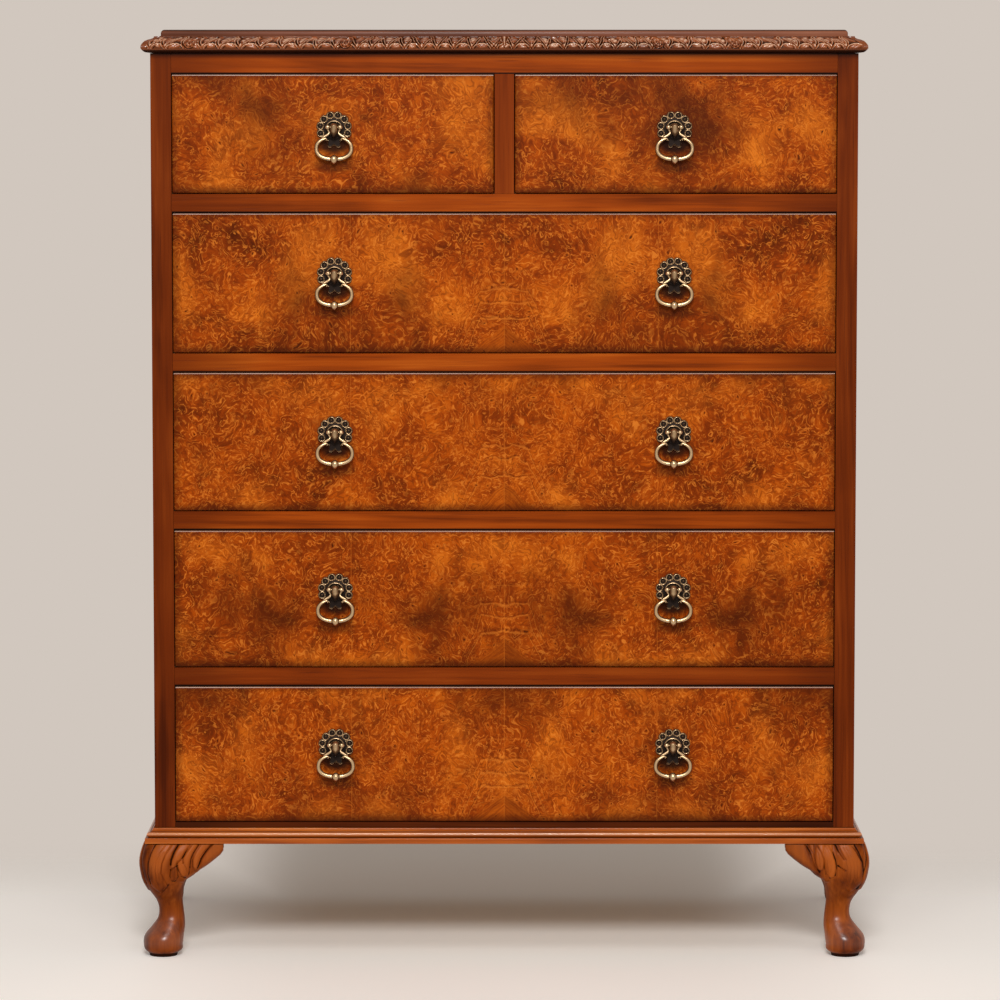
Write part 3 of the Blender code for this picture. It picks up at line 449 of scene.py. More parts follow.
def finish(name, recipe, **fixed):
    """A material. recipe takes an empty Socket and the place on the piece, in metres, and gives what
    varies over the surface; fixed holds what is the same all over."""
    material = bpy.data.materials.new(name)
    material.use_nodes = True
    tree = material.node_tree
    tree.nodes.clear()
    start = Socket(tree)
    place = start.node("TexCoord", output=3)
    shader = start.node("BsdfPrincipled", {}, {**fixed, **recipe(start, place)})
    start.node("OutputMaterial", {}, {"Surface": shader})
    return material


def wood_grain(place, axis, seed, straightness=1.0):
    """Walnut grain that runs along one axis. Broad bands of growth bend slowly, fine fibres and dark
    pores are stretched noise, and a chatoyant cloud lies over them. Gives shade, pores and cloud."""
    bands, fibres, pores = (tuple(along if k == axis else across for k in range(3))
                            for along, across in ((0.9 * straightness, 15.0), (3.0, 130.0), (14.0, 620.0)))
    here = place.moved(tuple(seed * f for f in (1.7, 2.9, 4.3)))
    band = here.scaled(bands).noise(1.6, 3, 0.6, 1.4)
    fibre = here.scaled(fibres).noise(1.0, 4, 0.65, 0.3)
    pore = here.scaled(pores).noise(1.0, 2, 0.5)
    cloud = here.noise(7.0, 2, 0.5, 0.4)
    shade = band.step(0.28, 0.72) * 0.5 + fibre.step(0.25, 0.78) * 0.34 + cloud.step(0.3, 0.7) * 0.16
    return shade, pore.step(0.60, 0.74), cloud


PORE_DEPTH = 0.45
GRAIN_RELIEF = {"Strength": 0.12, "Distance": 0.0004}
WOOD_SHEEN = {"Specular IOR Level": 0.06}


def figured(tints, shade, pores, pore_depth=PORE_DEPTH):
    """Walnut's colour: it follows the shade of the grain from the dark tint over the middle to the light
    one, and the pores darken it."""
    dark, middle, light = tints
    colour = shade.step(0.45, 0.95).between(shade.step(0.05, 0.55).between(dark, middle), light)
    return (pores * pore_depth).between(colour, dark)


def walnut(name, axis, seed, tints, carved=False, coat=0.0, coat_roughness=0.14, wear_and_highlight_tint=None,
           pore_depth=PORE_DEPTH, soot=None):
    """Polished walnut with a dark, a middle and a light tint. On a carved piece the mark attribute, in mm,
    colours it: where the mark is low the wood darkens and its polish goes dull, in the cuts and quirks,
    and as painted shade under the top moulding's nose, under the base moulding's edge, in the top of its
    hollow and at the soles; where it is high the crest tint shows: wear on the knees, a painted highlight
    on the bead, and both on the carved nose. coat, the gloss of the polish, is a number or depends on the
    place; darkening says of a place how far the wood is darkened there."""
    def recipe(start, place):
        shade, pores, cloud = wood_grain(place, axis, seed)
        colour = figured(tints, shade, pores, pore_depth)
        dull = 0.3 + 0.10 * cloud + 0.10 * pores
        varnish = coat(place) if callable(coat) else coat
        if carved:
            mark = start.node("Attribute", {"attribute_name": "mark"}, output=2)
            # A low mark darkens, in places as painted shade; a high mark takes the crest tint, in places as
            # a painted highlight.
            low_mark_shade = mark.step(0.30, -0.55)
            colour = (mark.step(0.7, 1.5) * 0.55).between(colour, wear_and_highlight_tint)
            colour = (low_mark_shade * 0.95).between(colour, tint(24, 6, 1))
            dull, varnish = dull + 0.3 * low_mark_shade, varnish * (1 - low_mark_shade)
        if soot:
            colour = (soot(place) * 0.92).between(colour, tint(18, 4, 1))
        relief = start.node("Bump", {}, {"Height": shade * 0.25 - pores * pore_depth * 2, **GRAIN_RELIEF})
        return {"Base Color": colour, "Roughness": dull, "Coat Weight": varnish, "Normal": relief}
    return finish(name, recipe, **WOOD_SHEEN, **{"Coat Roughness": coat_roughness})


def leg_polish(place):
    """The foot shines, most of all in front, and the carved knee and the foot's worn edge are dull."""
    height = place.part(2)
    front = 0.3 + 0.7 * place.part(1).step(FRONT_Y + 0.0125, FRONT_Y - 0.0055)
    return 0.05 + 0.95 * height.step(0.062, 0.038) * height.step(0.006, 0.024) * front


leg_walnut = walnut("carved_walnut_leg", 2, 3.0, (tint(70, 23, 2), tint(127, 56, 8), tint(166, 83, 22)),
                    carved=True, coat=leg_polish, coat_roughness=0.27, wear_and_highlight_tint=tint(184, 96, 38),
                    pore_depth=0.12)

# Rows of points up each leg, close together at the sole and on the carved knee, and points round the
# outer corner, the face and the inner corner
carved_rows = np.concatenate([
    np.linspace(0, 6, 12), np.linspace(6.8, 80, 64), np.linspace(80.6, LEG_HEIGHT / MM, 112),
])
plain_rows = np.concatenate([np.linspace(0, 6, 8), np.linspace(7.5, LEG_HEIGHT / MM, 80)])
for side in ("left", "right"):
    leg("leg_front_" + side, side, True, carved_rows, (40, 116, 20), leg_walnut)
    leg("leg_rear_" + side, side, False, plain_rows, (16, 28, 20), leg_walnut)


# Base moulding
# Three mitred lengths of walnut glued round the foot of the carcass: a flat band below, a quirk, a
# half-round bead with a painted highlight, and a small hollow that runs up to the carcass.

BASE_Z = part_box("base_moulding")[0][2]
# Heights of the two quirks and of the bead between them (mm)
QUIRKS, BEAD = (8.3, 15.3), 12.6


def arc(middle, radii, start, end, count):
    """Points of an ellipse (reach, height) round its middle, from one angle to another in degrees."""
    turn = np.radians(np.linspace(start, end, count))
    return np.stack([middle[0] + radii[0] * np.cos(turn), middle[1] + radii[1] * np.sin(turn)], axis=1)


def moulding(node, part, profile, low, shares, material, pattern):
    """One mitred length of a moulding. The profile (reach beyond the carcass and height, in mm) is
    carried along the front or a side, its ends on the 45 degree planes through the corners. The pattern
    (of distance along and height) lifts each point square to the profile."""
    reach, height = profile.T
    share = shares[:, None]
    length = HALF_WIDTH / MM if part == "front" else (BACK_Y - FRONT_Y) / MM
    along = (2 * share - 1) * length if part == "front" else share * length
    lift = pattern(along + 0 * reach, height + 0 * share, part == "front")
    run, rise = (np.roll(v, -1) - np.roll(v, 1) for v in (reach, height))
    size = np.maximum(np.hypot(run, rise), 1e-6)
    reach, height = reach + lift * rise / size, height - lift * run / size
    if part == "front":
        x, y = (2 * share - 1) * (length + reach), FRONT_Y / MM - reach
    else:
        x = (HALF_WIDTH / MM + reach) * (-1 if part == "left" else 1)
        y = FRONT_Y / MM - reach + share * (length + reach)
    grid = np.stack([x, y, low / MM + height], axis=-1) * MM
    piece = skin(f"{node}_{part}", grid, "root", material, [lift])
    piece.data.set_sharp_from_angle(angle=math.radians(38))
    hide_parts(node)


base_profile = np.concatenate([
    [(0.3, 0.0)], arc((11.2, 0.9), (0.8, 0.8), -90, 0, 5), arc((11.2, 7.0), (0.8, 0.8), 0, 90, 5),
    [(9.0, 7.9), (8.1, 8.5)], arc((6.6, 11.8), (2.0, 3.1), -75, 80, 17),
    [(5.2, 15.5), (4.3, 15.9)], arc((5.6, 20.1), (4.0, 4.1), 250, 180, 9), [(1.5, 20.5), (0.3, 20.5)],
])


def quirks(along, height, is_front):
    """The bead stands proud and its high mark paints a highlight on it; the two quirks are cut in and
    darkened, and painted shade lies under the lower edge and in the top of the hollow: a bell curve of the
    height for the bead and each quirk, a step at the edge and the hollow."""
    cut = bell(height, QUIRKS[0], 0.5) + bell(height, QUIRKS[1], 0.5)
    edges = 0.8 * ease(height, 1.0, 0.2) + 0.7 * ease(height, 19.3, 20.2)
    return 0.3 + 1.1 * bell(height, BEAD, 1.9) - 0.9 * cut - edges


def bead_polish(place):
    """The bead shines, the flat band below it and the hollow above it less."""
    height = place.part(2)
    below_hollow = height.step(BASE_Z + 0.0160, BASE_Z + 0.0145)
    return 0.10 + (0.2 + 0.65 * height.step(BASE_Z + 0.0085, BASE_Z + 0.0105)) * below_hollow


# The pale crest tint paints the highlight on the bead.
for part, axis in (("front", 0), ("left", 1), ("right", 1)):
    base_wood = walnut("walnut_base_" + part, axis, 11.0 + axis,
                       (tint(96, 38, 5), tint(160, 76, 18), tint(200, 110, 38)),
                       carved=True, coat=bead_polish, wear_and_highlight_tint=tint(226, 160, 112))
    moulding("base_moulding", part, base_profile, BASE_Z, np.linspace(0, 1, 9), base_wood,
             quirks)


# Carcass
# Walnut sides and rails, the rails and the divider lipped with walnut in front and plain behind. Dust
# frames of pale wood are housed into the sides, and a thin plywood back closes the rebate.

# How deep the walnut lips are, and how far in from its outer face a side is walnut
LIP_DEPTH, SIDE_WALNUT = 0.0070, 0.0240
rail_tints = (tint(96, 34, 2), tint(154, 65, 7), tint(184, 90, 20))
dark_rail_tints = (tint(84, 28, 2), tint(126, 50, 6), tint(150, 68, 14))
stile_tints = (tint(66, 20, 1), tint(106, 40, 4), tint(134, 58, 12))
# The bottom rail's darker tints paint the shade it lies in under the lowest drawer.
shaded_bottom_tints = (tint(50, 16, 1), tint(80, 30, 3), tint(104, 44, 8))


def dressed(node, material):
    """Gives a CAD node this material in each of its slots."""
    mesh = frame["nodes"][node].data
    for k in range(len(mesh.materials)):
        mesh.materials[k] = material


def bare_wood(place, axis, seed, low, high):
    """Planed wood without polish: its grain, and a few darker streaks."""
    shade, pores, cloud = wood_grain(place, axis, seed, 1.4)
    return (pores * 0.35).between((shade * 0.8 + cloud * 0.2).between(low, high), low)


def planed(name, axis, seed, low, high, sheen=0.2):
    """A material of bare wood, whose grain runs along one axis."""
    def recipe(start, place):
        return {"Base Color": bare_wood(place, axis, seed, low, high),
                "Roughness": 0.55 + 0.2 * place.noise(9.0)}
    return finish(name, recipe, **{"Specular IOR Level": sheen})


def lipped(name, axis, seed, tints, edge, soot):
    """Walnut in front of a plane and plain wood behind or inside it: edge turns the place on the piece
    into 1 where the plain wood shows. darkening lists pairs of heights between which painted shadow
    turns the walnut nearly black. A rail darkens towards its ends."""
    def recipe(start, place):
        shade, pores, cloud = wood_grain(place, axis, seed)
        colour = figured(tints, shade, pores)
        if axis == 0:
            from_middle = abs(place.part(0)) + (cloud - 0.5) * 0.12
            colour = (from_middle.step(0.29, 0.42) * 0.72).between(colour, tints[0])
        # Painted shadow: nearly black bands between the listed heights.
        for heights in soot:
            colour = (place.part(2).step(*heights) * 0.96).between(colour, tint(12, 3, 1))
        hidden = edge(place)
        inner = bare_wood(place, axis, seed + 5, tint(136, 96, 58), tint(182, 142, 98))
        relief = start.node("Bump", {}, {"Height": shade * 0.25 - pores, **GRAIN_RELIEF})
        return {"Base Color": hidden.between(colour, inner), "Normal": relief,
                "Roughness": (0.30 + 0.10 * cloud + 0.10 * pores) * (1 - hidden) + 0.62 * hidden}
    return finish(name, recipe, **WOOD_SHEEN)


def behind_lip(place):
    """1 behind the walnut lip on the front of a rail."""
    return place.part(1).step(FRONT_Y + LIP_DEPTH, FRONT_Y + LIP_DEPTH + 0.0004)


def inside_panel(place):
    """1 on the inner face of a side, behind its walnut front edge."""
    inner = HALF_WIDTH - SIDE_WALNUT
    return abs(place.part(0)).step(inner, inner - 0.0004) * behind_lip(place)


for node, axis, tints in (
    ("side_left", 2, stile_tints), ("side_right", 2, stile_tints), ("drawer_divider", 2, dark_rail_tints),
    ("top_rail", 0, rail_tints), ("rail_1", 0, rail_tints), ("rail_2", 0, rail_tints),
    ("rail_3", 0, rail_tints), ("rail_4", 0, dark_rail_tints), ("bottom_rail", 0, shaded_bottom_tints),
):
    seed = 20.0 + sum(map(ord, node)) % 17
    low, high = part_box(node)[0][2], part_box(node)[1][2]
    # Painted shadows: on each rail just under the proud drawer front above it, on the top rail and the
    # sides under the top moulding, and along each rail's lower edge over the gap below it.
    soot = []
    if node.startswith("rail_"):
        soot.append((high - 0.0024, high - 0.0002))
    if node in ("top_rail", "side_left", "side_right"):
        soot.append((high - 0.0085, high + 0.001))
    if axis == 0:
        soot.append((low + 0.0024, low + 0.0008))
    edge = inside_panel if node.startswith("side") else behind_lip
    dressed(node, lipped("walnut_" + node, axis, seed, tints, edge, soot))

frame_wood = planed("frame_wood", 1, 41.0, tint(150, 112, 70), tint(196, 158, 110))
for node in ("dust_frame_1", "dust_frame_2", "dust_frame_3", "dust_frame_4", "bottom_frame"):
    dressed(node, frame_wood)
dressed("back_panel", planed("plywood_back", 2, 47.0, tint(148, 98, 58), tint(194, 142, 96)))


# Drawers
# Each has a front veneered with burr walnut, two matching leaves met at the middle of the long ones, on
# a plain core; thin sides dovetailed into it, a back board, and a thin bottom in grooves.

DRAWERS = ("top_left", "top_right", "long_1", "long_2", "long_3", "long_4")
# Width of a leaf of veneer, depth of the veneer and thickness of a drawer's back board
LEAF_WIDTH, VENEER, BACK_BOARD = 0.195, 0.0026, 0.012
# Arches over the point of the figure: height on the front and strength
ARCHES = ((0.044, 0.75), (0.063, 0.65), (0.079, 0.6), (0.106, 0.3))
# Painted shadows at a pull, one behind its ring and one below it: distance below its pins, half width and
# half height, and strength
PULL_SHADOWS = ((0.0213, 0.021, 0.012, 0.93), (0.048, 0.024, 0.009, 0.6))


def drifting(place, scale, roughness, reach):
    """A shift that wanders over the veneer: noise as a vector, brought round zero and scaled."""
    wander = place.noise(scale, 2, roughness, output=1).moved((-0.5,) * 3)
    return wander.moved((reach,) * 3, "MULTIPLY")


def pin_knots(start, curled, seed, cloud):
    """Round knots in some cells of a flat cell pattern, in more of them where the clouds are dark. Gives
    the knot's dark eye, the light ring round it, and how far the lines swell out near it."""
    spot = start.node("CombineXYZ", {}, {0: curled.part(0) + seed, 1: curled.part(2)})
    planar = {"feature": "F1", "voronoi_dimensions": "2D"}
    cells = {"Vector": spot, "Scale": 58.0, "Randomness": 1.0}
    far = start.node("TexVoronoi", planar, cells)
    chance = start.node("TexVoronoi", planar, cells, output=1).part(0) + (0.5 - cloud) * 0.9
    picked = chance.step(0.74, 0.80)
    return (far.step(0.085, 0.03) * picked, abs(far - 0.15).step(0.05, 0.01) * picked,
            far.step(0.45, 0.0) * picked)


def curling_lines(flat, curled, swell):
    """Light and dark lines: sine waves cut two warped noises into contours, coarse ones where the figure
    is strong and fine ones between, broken into short strokes. Gives both kinds of line, the coarse wave
    and the tone that lies under the lines."""
    grain = curled.noise(58.0, 2, 0.5, 0.4) + swell * 0.14
    fine = curled.noise(120.0, 2, 0.55, 0.5)
    wave, fine_wave = (grain * 42.0).sine(), (fine * 26.0).sine()
    stroke, patchy = flat.noise(105.0, 1, 0.5), flat.noise(42.0, 2, 0.5)
    strong, other = patchy.step(0.40, 0.58), patchy.step(0.62, 0.42)
    light = wave.step(0.62, 1.0) * stroke.step(0.42, 0.56) * (0.35 + 0.65 * strong)
    fine_light = fine_wave.step(0.62, 1.0) * stroke.step(0.60, 0.46) * (0.25 + 0.75 * other)
    dark = wave.step(-0.6, -1.0) * (0.3 + 0.7 * strong) + fine_wave.step(-0.66, -1.0) * other * 0.6
    tone = (grain - 0.5) * 0.32 + (patchy - 0.5) * 0.36 + (fine - 0.5) * 0.40
    return light.most(fine_light * 0.9), dark, wave, tone


def pointed_figure(start, x, height, mirror, bent, seed, figure):
    """Straight-grained wood that rises to a point at the lower middle of a long front, where its leaves
    meet, and faint arches over it. Changes the figure: its ground colour, light and dark lines."""
    ground, light, dark = figure
    wobble = (bent.noise(34.0, 2, 0.5) - 0.5) * 0.022
    rise = height + mirror * 0.8 + wobble * 0.5
    inside = rise.step(0.038, 0.032)
    threads = start.node("CombineXYZ", {}, {0: rise, 1: mirror * 0.07, 2: seed}).noise(420.0, 3, 0.6)
    plain = threads.step(0.3, 0.7).between(tint(134, 52, 3), tint(194, 94, 14))
    plain = (x.step(-0.0004, 0.0004) * 0.40).between(plain, tint(92, 34, 2))
    light, dark = light * (1 - inside * 0.85), dark * (1 - inside * 0.6)
    crown = height + (mirror - 0.030).most(0.0) * 2.2 + wobble
    near = mirror.step(0.066, 0.044)
    for level, strength in ARCHES:
        light = light.most(abs(crown - level).step(0.0017, 0.0004) * strength * near)
        dark = dark + abs(crown - level - 0.0026).step(0.0016, 0.0004) * strength * near
    return (inside * 0.8).between(ground, plain), light, dark


def toned_edges_and_ring_shadows(start, colour, to_edges, from_pull):
    """A front darkens towards its edges, given the distances from its foot, ends and top, and painted
    shadows of its ring darken the veneer behind and below the ring in two ellipses, given the distance
    across and up from the pull."""
    foot, ends, top = to_edges
    rim = (foot.step(0.013, 0.0) * 0.72).most(ends.step(0.014, 0.0) * 0.5)
    rim = rim.most(top.step(0.009, 0.001) * 0.42)
    colour = rim.between(colour, tint(54, 16, 1))
    # Each ellipse is a painted shadow of the ring.
    for drop, half_width, half_height, strength in PULL_SHADOWS:
        across, up = from_pull[0] / half_width, (from_pull[1] + drop) / half_height
        far = start.node("CombineXYZ", {}, {0: across, 1: up}).length()
        colour = (far.step(1.5, 0.55) * strength).between(colour, tint(26, 8, 2))
    return colour


def burr_recipe(front):
    """Burr walnut of one drawer front. Noise warped by slower noise is raised round the pin knots and
    cut into curling lines. Slow mirrored clouds darken the leaves, and glowing patches lighten them.
    Behind the thin veneer the core is plain wood."""
    low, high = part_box(front)
    middle, half = (low[0] + high[0]) / 2, (high[0] - low[0]) / 2
    is_long = half > 0.3
    name = front.replace("_drawer_front", "")
    seed = 1.7 * DRAWERS.index(name)
    pull_x, pull_z = next((joint["pos_m"][0], joint["pos_m"][2]) for joint in frame["joints"]
                          if joint["name"] == name + ("_right" if is_long else "") + "_pull_swing")

    def recipe(start, place):
        x, z = place.part(0), place.part(2)
        mirror = abs(x) if is_long else x
        fold = mirror.math("MINIMUM", mirror, 2 * LEAF_WIDTH - mirror) if is_long else mirror
        leaf = start.node("CombineXYZ", {}, {0: fold, 1: seed, 2: z})
        flat = start.node("CombineXYZ", {}, {0: x, 1: seed + 3.1, 2: z})
        drift = drifting(leaf, 9.0, 0.5, 0.07)
        bent, curled = leaf.moved(drift), flat.moved(drifting(flat, 40.0, 0.6, 0.018)).moved(drift)
        cloud, patch = bent.noise(7.0, 3, 0.6), bent.noise(19.0, 3, 0.6)
        eye, ring, swell = pin_knots(start, curled, seed, cloud)
        light, dark, wave, tone = curling_lines(flat, curled, swell)
        light = light.most(ring * 0.5)
        fibre = curled.noise(420.0, 2, 0.6)
        glow = leaf.moved((7.3, 0, 1.9)).noise(10.0, 2, 0.5).step(0.48, 0.70)
        tone = tone + 0.48 + (patch - 0.5) * 0.90 + (fibre - 0.5) * 0.26 + glow * 0.20
        if is_long:
            tone = tone + mirror.step(0.30, 0.04) * 0.09 - 0.02
        colour = tone.node("ValToRGB", {"stops": [
            (0.15, tint(80, 28, 1)), (0.38, tint(130, 49, 2)), (0.54, tint(158, 64, 3)),
            (0.72, tint(182, 82, 6)), (0.90, tint(208, 106, 20)),
        ]}, {0: tone})
        if is_long:
            figure = (colour, light, dark)
            colour, light, dark = pointed_figure(start, x, z - low[2], mirror, bent, seed, figure)

        colour = (glow * 0.22).between(colour, tint(220, 128, 36))
        colour = (light * 0.64).between(colour, tint(228, 132, 44))
        colour = (dark * 0.46).between(colour, tint(88, 28, 1))
        colour = (eye * 0.8).between(colour, tint(50, 14, 1))
        colour = (cloud.step(0.54, 0.30) * 0.66).between(colour, tint(80, 28, 2))
        colour = (cloud.step(0.37, 0.24) * 0.40).between(colour, tint(50, 15, 1))
        if is_long:
            seam = mirror.step(0.0008, 0.0002).most(abs(mirror - LEAF_WIDTH).step(0.0007, 0.0002))
            colour = (seam * 0.35).between(colour, tint(206, 112, 32))
        # Darker edges, and the painted shadows of the ring on the veneer.
        to_edges = (z - low[2], half - abs(x - middle), high[2] - z)
        colour = toned_edges_and_ring_shadows(start, colour, to_edges, (mirror - pull_x, z - pull_z))
        core = place.part(1).step(low[1] + VENEER, low[1] + VENEER + 0.0003)
        colour = core.between(colour, bare_wood(place, 0, seed, tint(128, 84, 46), tint(168, 122, 78)))
        relief = start.node("Bump", {}, {"Height": fibre * 0.4 + wave * 0.15, "Strength": 0.05,
                                         "Distance": 0.0003})
        return {"Base Color": colour, "Normal": relief,
                "Roughness": (0.28 + 0.12 * patch) * (1 - core) + 0.6 * core}
    return recipe


def box_recipe(start, place):
    """Pale drawer wood: the grain runs back along the sides, and across in the back board."""
    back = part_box("long_1_drawer_box")[1][1] - BACK_BOARD
    across = place.part(1).step(back, back + 0.001)
    low, high = tint(158, 108, 62), tint(214, 166, 114)
    colour = across.between(bare_wood(place, 1, 51.0, low, high), bare_wood(place, 0, 52.0, low, high))
    return {"Base Color": colour, "Roughness": 0.5 + 0.2 * place.noise(11.0)}


def arris(name, polish):
    """The rounded top arris of a drawer front: a quarter circle over the whole length of the front, a
    hair proud of the veneer, closed below and behind."""
    low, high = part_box(name + "_drawer_front")
    outline = np.concatenate([[(1.5, -1.3)], arc((1.1, -1.2), (-1.2, 1.1), 0, 90, 9), [(1.5, -0.3)]])
    ends = np.array([low[0] + 0.0004, high[0] - 0.0004])[:, None]
    grid = np.stack([ends + 0 * outline[:, 0], low[1] + MM * outline[:, 0] + 0 * ends,
                     high[2] + MM * outline[:, 1] + 0 * ends], axis=-1)
    piece = skin(name + "_top_arris", grid, name + "_drawer", polish)
    piece.data.set_sharp_from_angle(angle=math.radians(40))


drawer_wood = finish("drawer_sides", box_recipe, **{"Specular IOR Level": 0.25})
bottom_wood = planed("drawer_bottom", 0, 57.0, tint(164, 124, 78), tint(208, 170, 120), sheen=0.25)
# The pale tints paint the highlight along the rounded top arris of each front.
arris_painted_highlight = walnut("worn_arris", 0, 61.0, (tint(140, 102, 84), tint(170, 136, 120), tint(192, 162, 148)),
                      coat=0.4, coat_roughness=0.3)
for name in DRAWERS:
    front = name + "_drawer_front"
    dressed(front, finish("burr_veneer_" + name, burr_recipe(front), **WOOD_SHEEN))
    dressed(name + "_drawer_box", drawer_wood)
    dressed(name + "_drawer_bottom", bottom_wood)
    arris(name, arris_painted_highlight)


# Top moulding
# Three mitred lengths of walnut under the top, carved on the nose with a running pattern of ribbons
# crossed in V's over leaves, a rayed shell at the middle and round flowers to its left and right.

TOP_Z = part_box("top_moulding")[0][2]
NOSE_REACH, NOSE_RADIUS, CARVED_HEIGHT = 10.8, 6.8, 21.2
V_FOOT, V_HEAD = 5.9, 20.6
GROUND = -0.2
ROSETTES, SIDE_ROSETTES = (-388.0, -196.0, 190.0, 284.0), (230.0,)
ROSETTE_HEIGHT, ROSETTE_RADIUS = 13.0, 7.8
SHELL_RADIUS, SHELL_HALF_ANGLE = 15.0, 0.42
# Lumps of each V, as shares of the way to the next tip: place, height, half width, half height, crest
LEAVES = ((0.5, 9.0, 0.30, 2.5, 1.25), (0.02, 16.0, 0.26, 3.4, 1.35), (0.5, 17.2, 0.22, 2.8, 1.2))
# Tips of the V's, a drawn distance apart, with the shell's V at the middle; arms, their ends, lumps
draws = np.random.default_rng(5)
steps = draws.uniform(18.0, 26.5, 60)
TIPS = np.concatenate([-np.cumsum(steps[:30])[::-1] + 9.5, [-10.2, 10.2], np.cumsum(steps[30:]) + 9.5])
ARMS = draws.uniform(7.0, 15.5, (2, len(TIPS)))
ARMS[:, 30:32] = [[15.7, 6.6], [6.6, 15.7]]
ARM_ENDS = draws.uniform(0.55, 1.0, (2, len(TIPS)))
LUMPS = draws.uniform(-1.0, 1.0, (len(TIPS), 3, 5))


def hump(along, height, middle, halves, lean):
    """1 - q^2 inside an ellipse round a middle, nothing outside; the ellipse leans by a slope."""
    aside, up = along - middle[0], height - middle[1]
    return np.clip(1 - (aside / halves[0]) ** 2 - ((up - lean * aside) / halves[1]) ** 2, 0, 1)


def ribbon_carving(along, height, is_front):
    """Rise of the carved nose (mm). From each V's tip two straight ribbons run up to the left and right;
    across a ribbon two bell-shaped ridges stand beside a groove, and from tip to tip a ridge rises in a
    low parabola, the hem of the lower leaves. Leaves lie in each V and between the V's: round humps,
    each with a vein, and a bright bud in the tip. Flowers are waves of the distance and angle from their
    middle. The carving dies away towards the ends and the lower nose, where the rise, which is also the
    mark, falls below zero to paint the shade under the nose."""
    nearest = np.abs(along[..., None] - TIPS).argmin(axis=-1)
    lumps, ribs, grooves = GROUND + 0 * along, GROUND + 0 * along, 0 * along
    for shift in (-1, 0, 1):
        k = np.clip(nearest + shift, 0, len(TIPS) - 1)
        tip, draw = TIPS[k], LUMPS[k]
        gap = TIPS[np.minimum(k + 1, len(TIPS) - 1)] - tip
        gap = np.where(gap > 1, gap, 22.0)
        for number, (place, up, half, tall, crest) in enumerate(LEAVES):
            side, rise, size, lean, lift = (draw[..., number, n] for n in range(5))
            middle = (tip + gap * place + side * 1.3, up + rise * 0.9)
            lump = hump(along, height, middle, (gap * half * (1 + 0.25 * size), tall), lean * 0.28)
            vein = bell(height - middle[1], (0.25 + 0.5 * lean) * (along - middle[0]), 0.6)
            crest = crest - GROUND + 0.25 * lift
            lumps = np.maximum(lumps, GROUND + crest * np.sqrt(lump) - 0.7 * vein * ease(lump, 0, 0.3))
        bud = hump(along, height, (tip, V_FOOT + 3.6), (1.9, 2.3), 0.0)
        lumps = np.maximum(lumps, GROUND + 2.0 * np.sqrt(bud))
        for sign, reach, ends in ((-1, ARMS[0][k], ARM_ENDS[0]), (1, ARMS[1][k], ARM_ENDS[1])):
            run, climb = sign * reach, V_HEAD - V_FOOT
            share = ((along - tip) * run + (height - V_FOOT) * climb) / (run**2 + climb**2)
            share = np.clip(share, 0, ends[k])
            away = np.hypot(along - tip - share * run, height - V_FOOT - share * climb)
            ribs = np.maximum(ribs, GROUND + 1.8 * bell(away, 1.3, 0.55))
            grooves = np.maximum(grooves, bell(away, 0, 0.65))
            grooves = np.maximum(grooves, 0.35 * bell(away, 2.5, 0.55))
        across = (along - tip) / gap
        on_hem = (across > 0) & (across < 1)
        hem = height - V_FOOT - 0.7 - 18.0 * across * (1 - across)
        ribs = np.maximum(ribs, GROUND + 2.2 * bell(hem, 0, 0.65) * on_hem)
        grooves = np.maximum(grooves, 0.5 * bell(hem, 1.5, 0.6) * on_hem)
    lift = np.maximum(lumps, ribs) - 1.6 * grooves
    for middle in ROSETTES if is_front else SIDE_ROSETTES:
        aside, up = along - middle, height - ROSETTE_HEIGHT
        far, turn = np.hypot(aside, up), np.arctan2(up, aside)
        flower = 0.35 + 0.75 * np.cos(far * 1.9) + 0.35 * np.cos(turn * 7) * (far > 2)
        flower = flower - 1.6 * bell(far, ROSETTE_RADIUS - 0.6, 0.6)
        lift = np.where(far < ROSETTE_RADIUS, flower, lift)
    if is_front:
        far, turn = np.hypot(along, height - V_FOOT), np.arctan2(along, height - V_FOOT)
        rays = -0.7 + 2.0 * np.abs(np.cos(turn * 7.0)) ** 0.8 * ease(far, 0.6, 2.5)
        lift = np.where((far < SHELL_RADIUS) & (np.abs(turn) < SHELL_HALF_ANGLE), rays, lift)
    end = np.abs(along) - HALF_WIDTH / MM if is_front else -along
    shown = ease(end, -4.5, -8.5) * ease(height, 4.6, 6.0)
    shown = shown * ease(height, CARVED_HEIGHT, CARVED_HEIGHT - 0.7)
    # Painted shade under the nose: below the carving the mark falls away to darken the lower nose.
    painted_shade_below = (-0.05 - 0.6 * ease(height, 4.6, 1.8)) * ease(height, 6.4, 5.6)
    return lift * shown + painted_shade_below * (1 - shown)


nose = arc((NOSE_REACH - NOSE_RADIUS, NOSE_RADIUS), (NOSE_RADIUS, NOSE_RADIUS), -90, 34, 22)
above = np.array([nose[-1], (8.4, 12.1), (6.2, 14.2), (2.2, 16.1), (-2.0, 17.5), (-4.0, 19.2),
                  (-4.7, CARVED_HEIGHT)])
rise = np.linspace(nose[-1][1], CARVED_HEIGHT, 26)[1:]
above = np.stack([through(rise, above[:, 1], above[:, 0]), rise], axis=1)
nose_profile = np.concatenate([[(-5.0, 0.0)], nose, above, [(-5.0, CARVED_HEIGHT)]])
for part, axis, count in (("front", 0, 1700), ("left", 1, 640), ("right", 1, 640)):
    # The pale crest tint is wear and a painted highlight on the carving's crests.
    nose_wood = walnut("carved_walnut_top_" + part, axis, 17.0 + axis,
                       (tint(86, 34, 8), tint(140, 70, 28), tint(176, 98, 48)),
                       carved=True, coat=0.7, wear_and_highlight_tint=tint(255, 214, 180))
    moulding("top_moulding", part, nose_profile, TOP_Z, np.linspace(0, 1, count), nose_wood,
             ribbon_carving)


# Top board
# A flat walnut board over the carved moulding, stepped back along the front and sides to a rounded
# upper edge, and the whole polished.

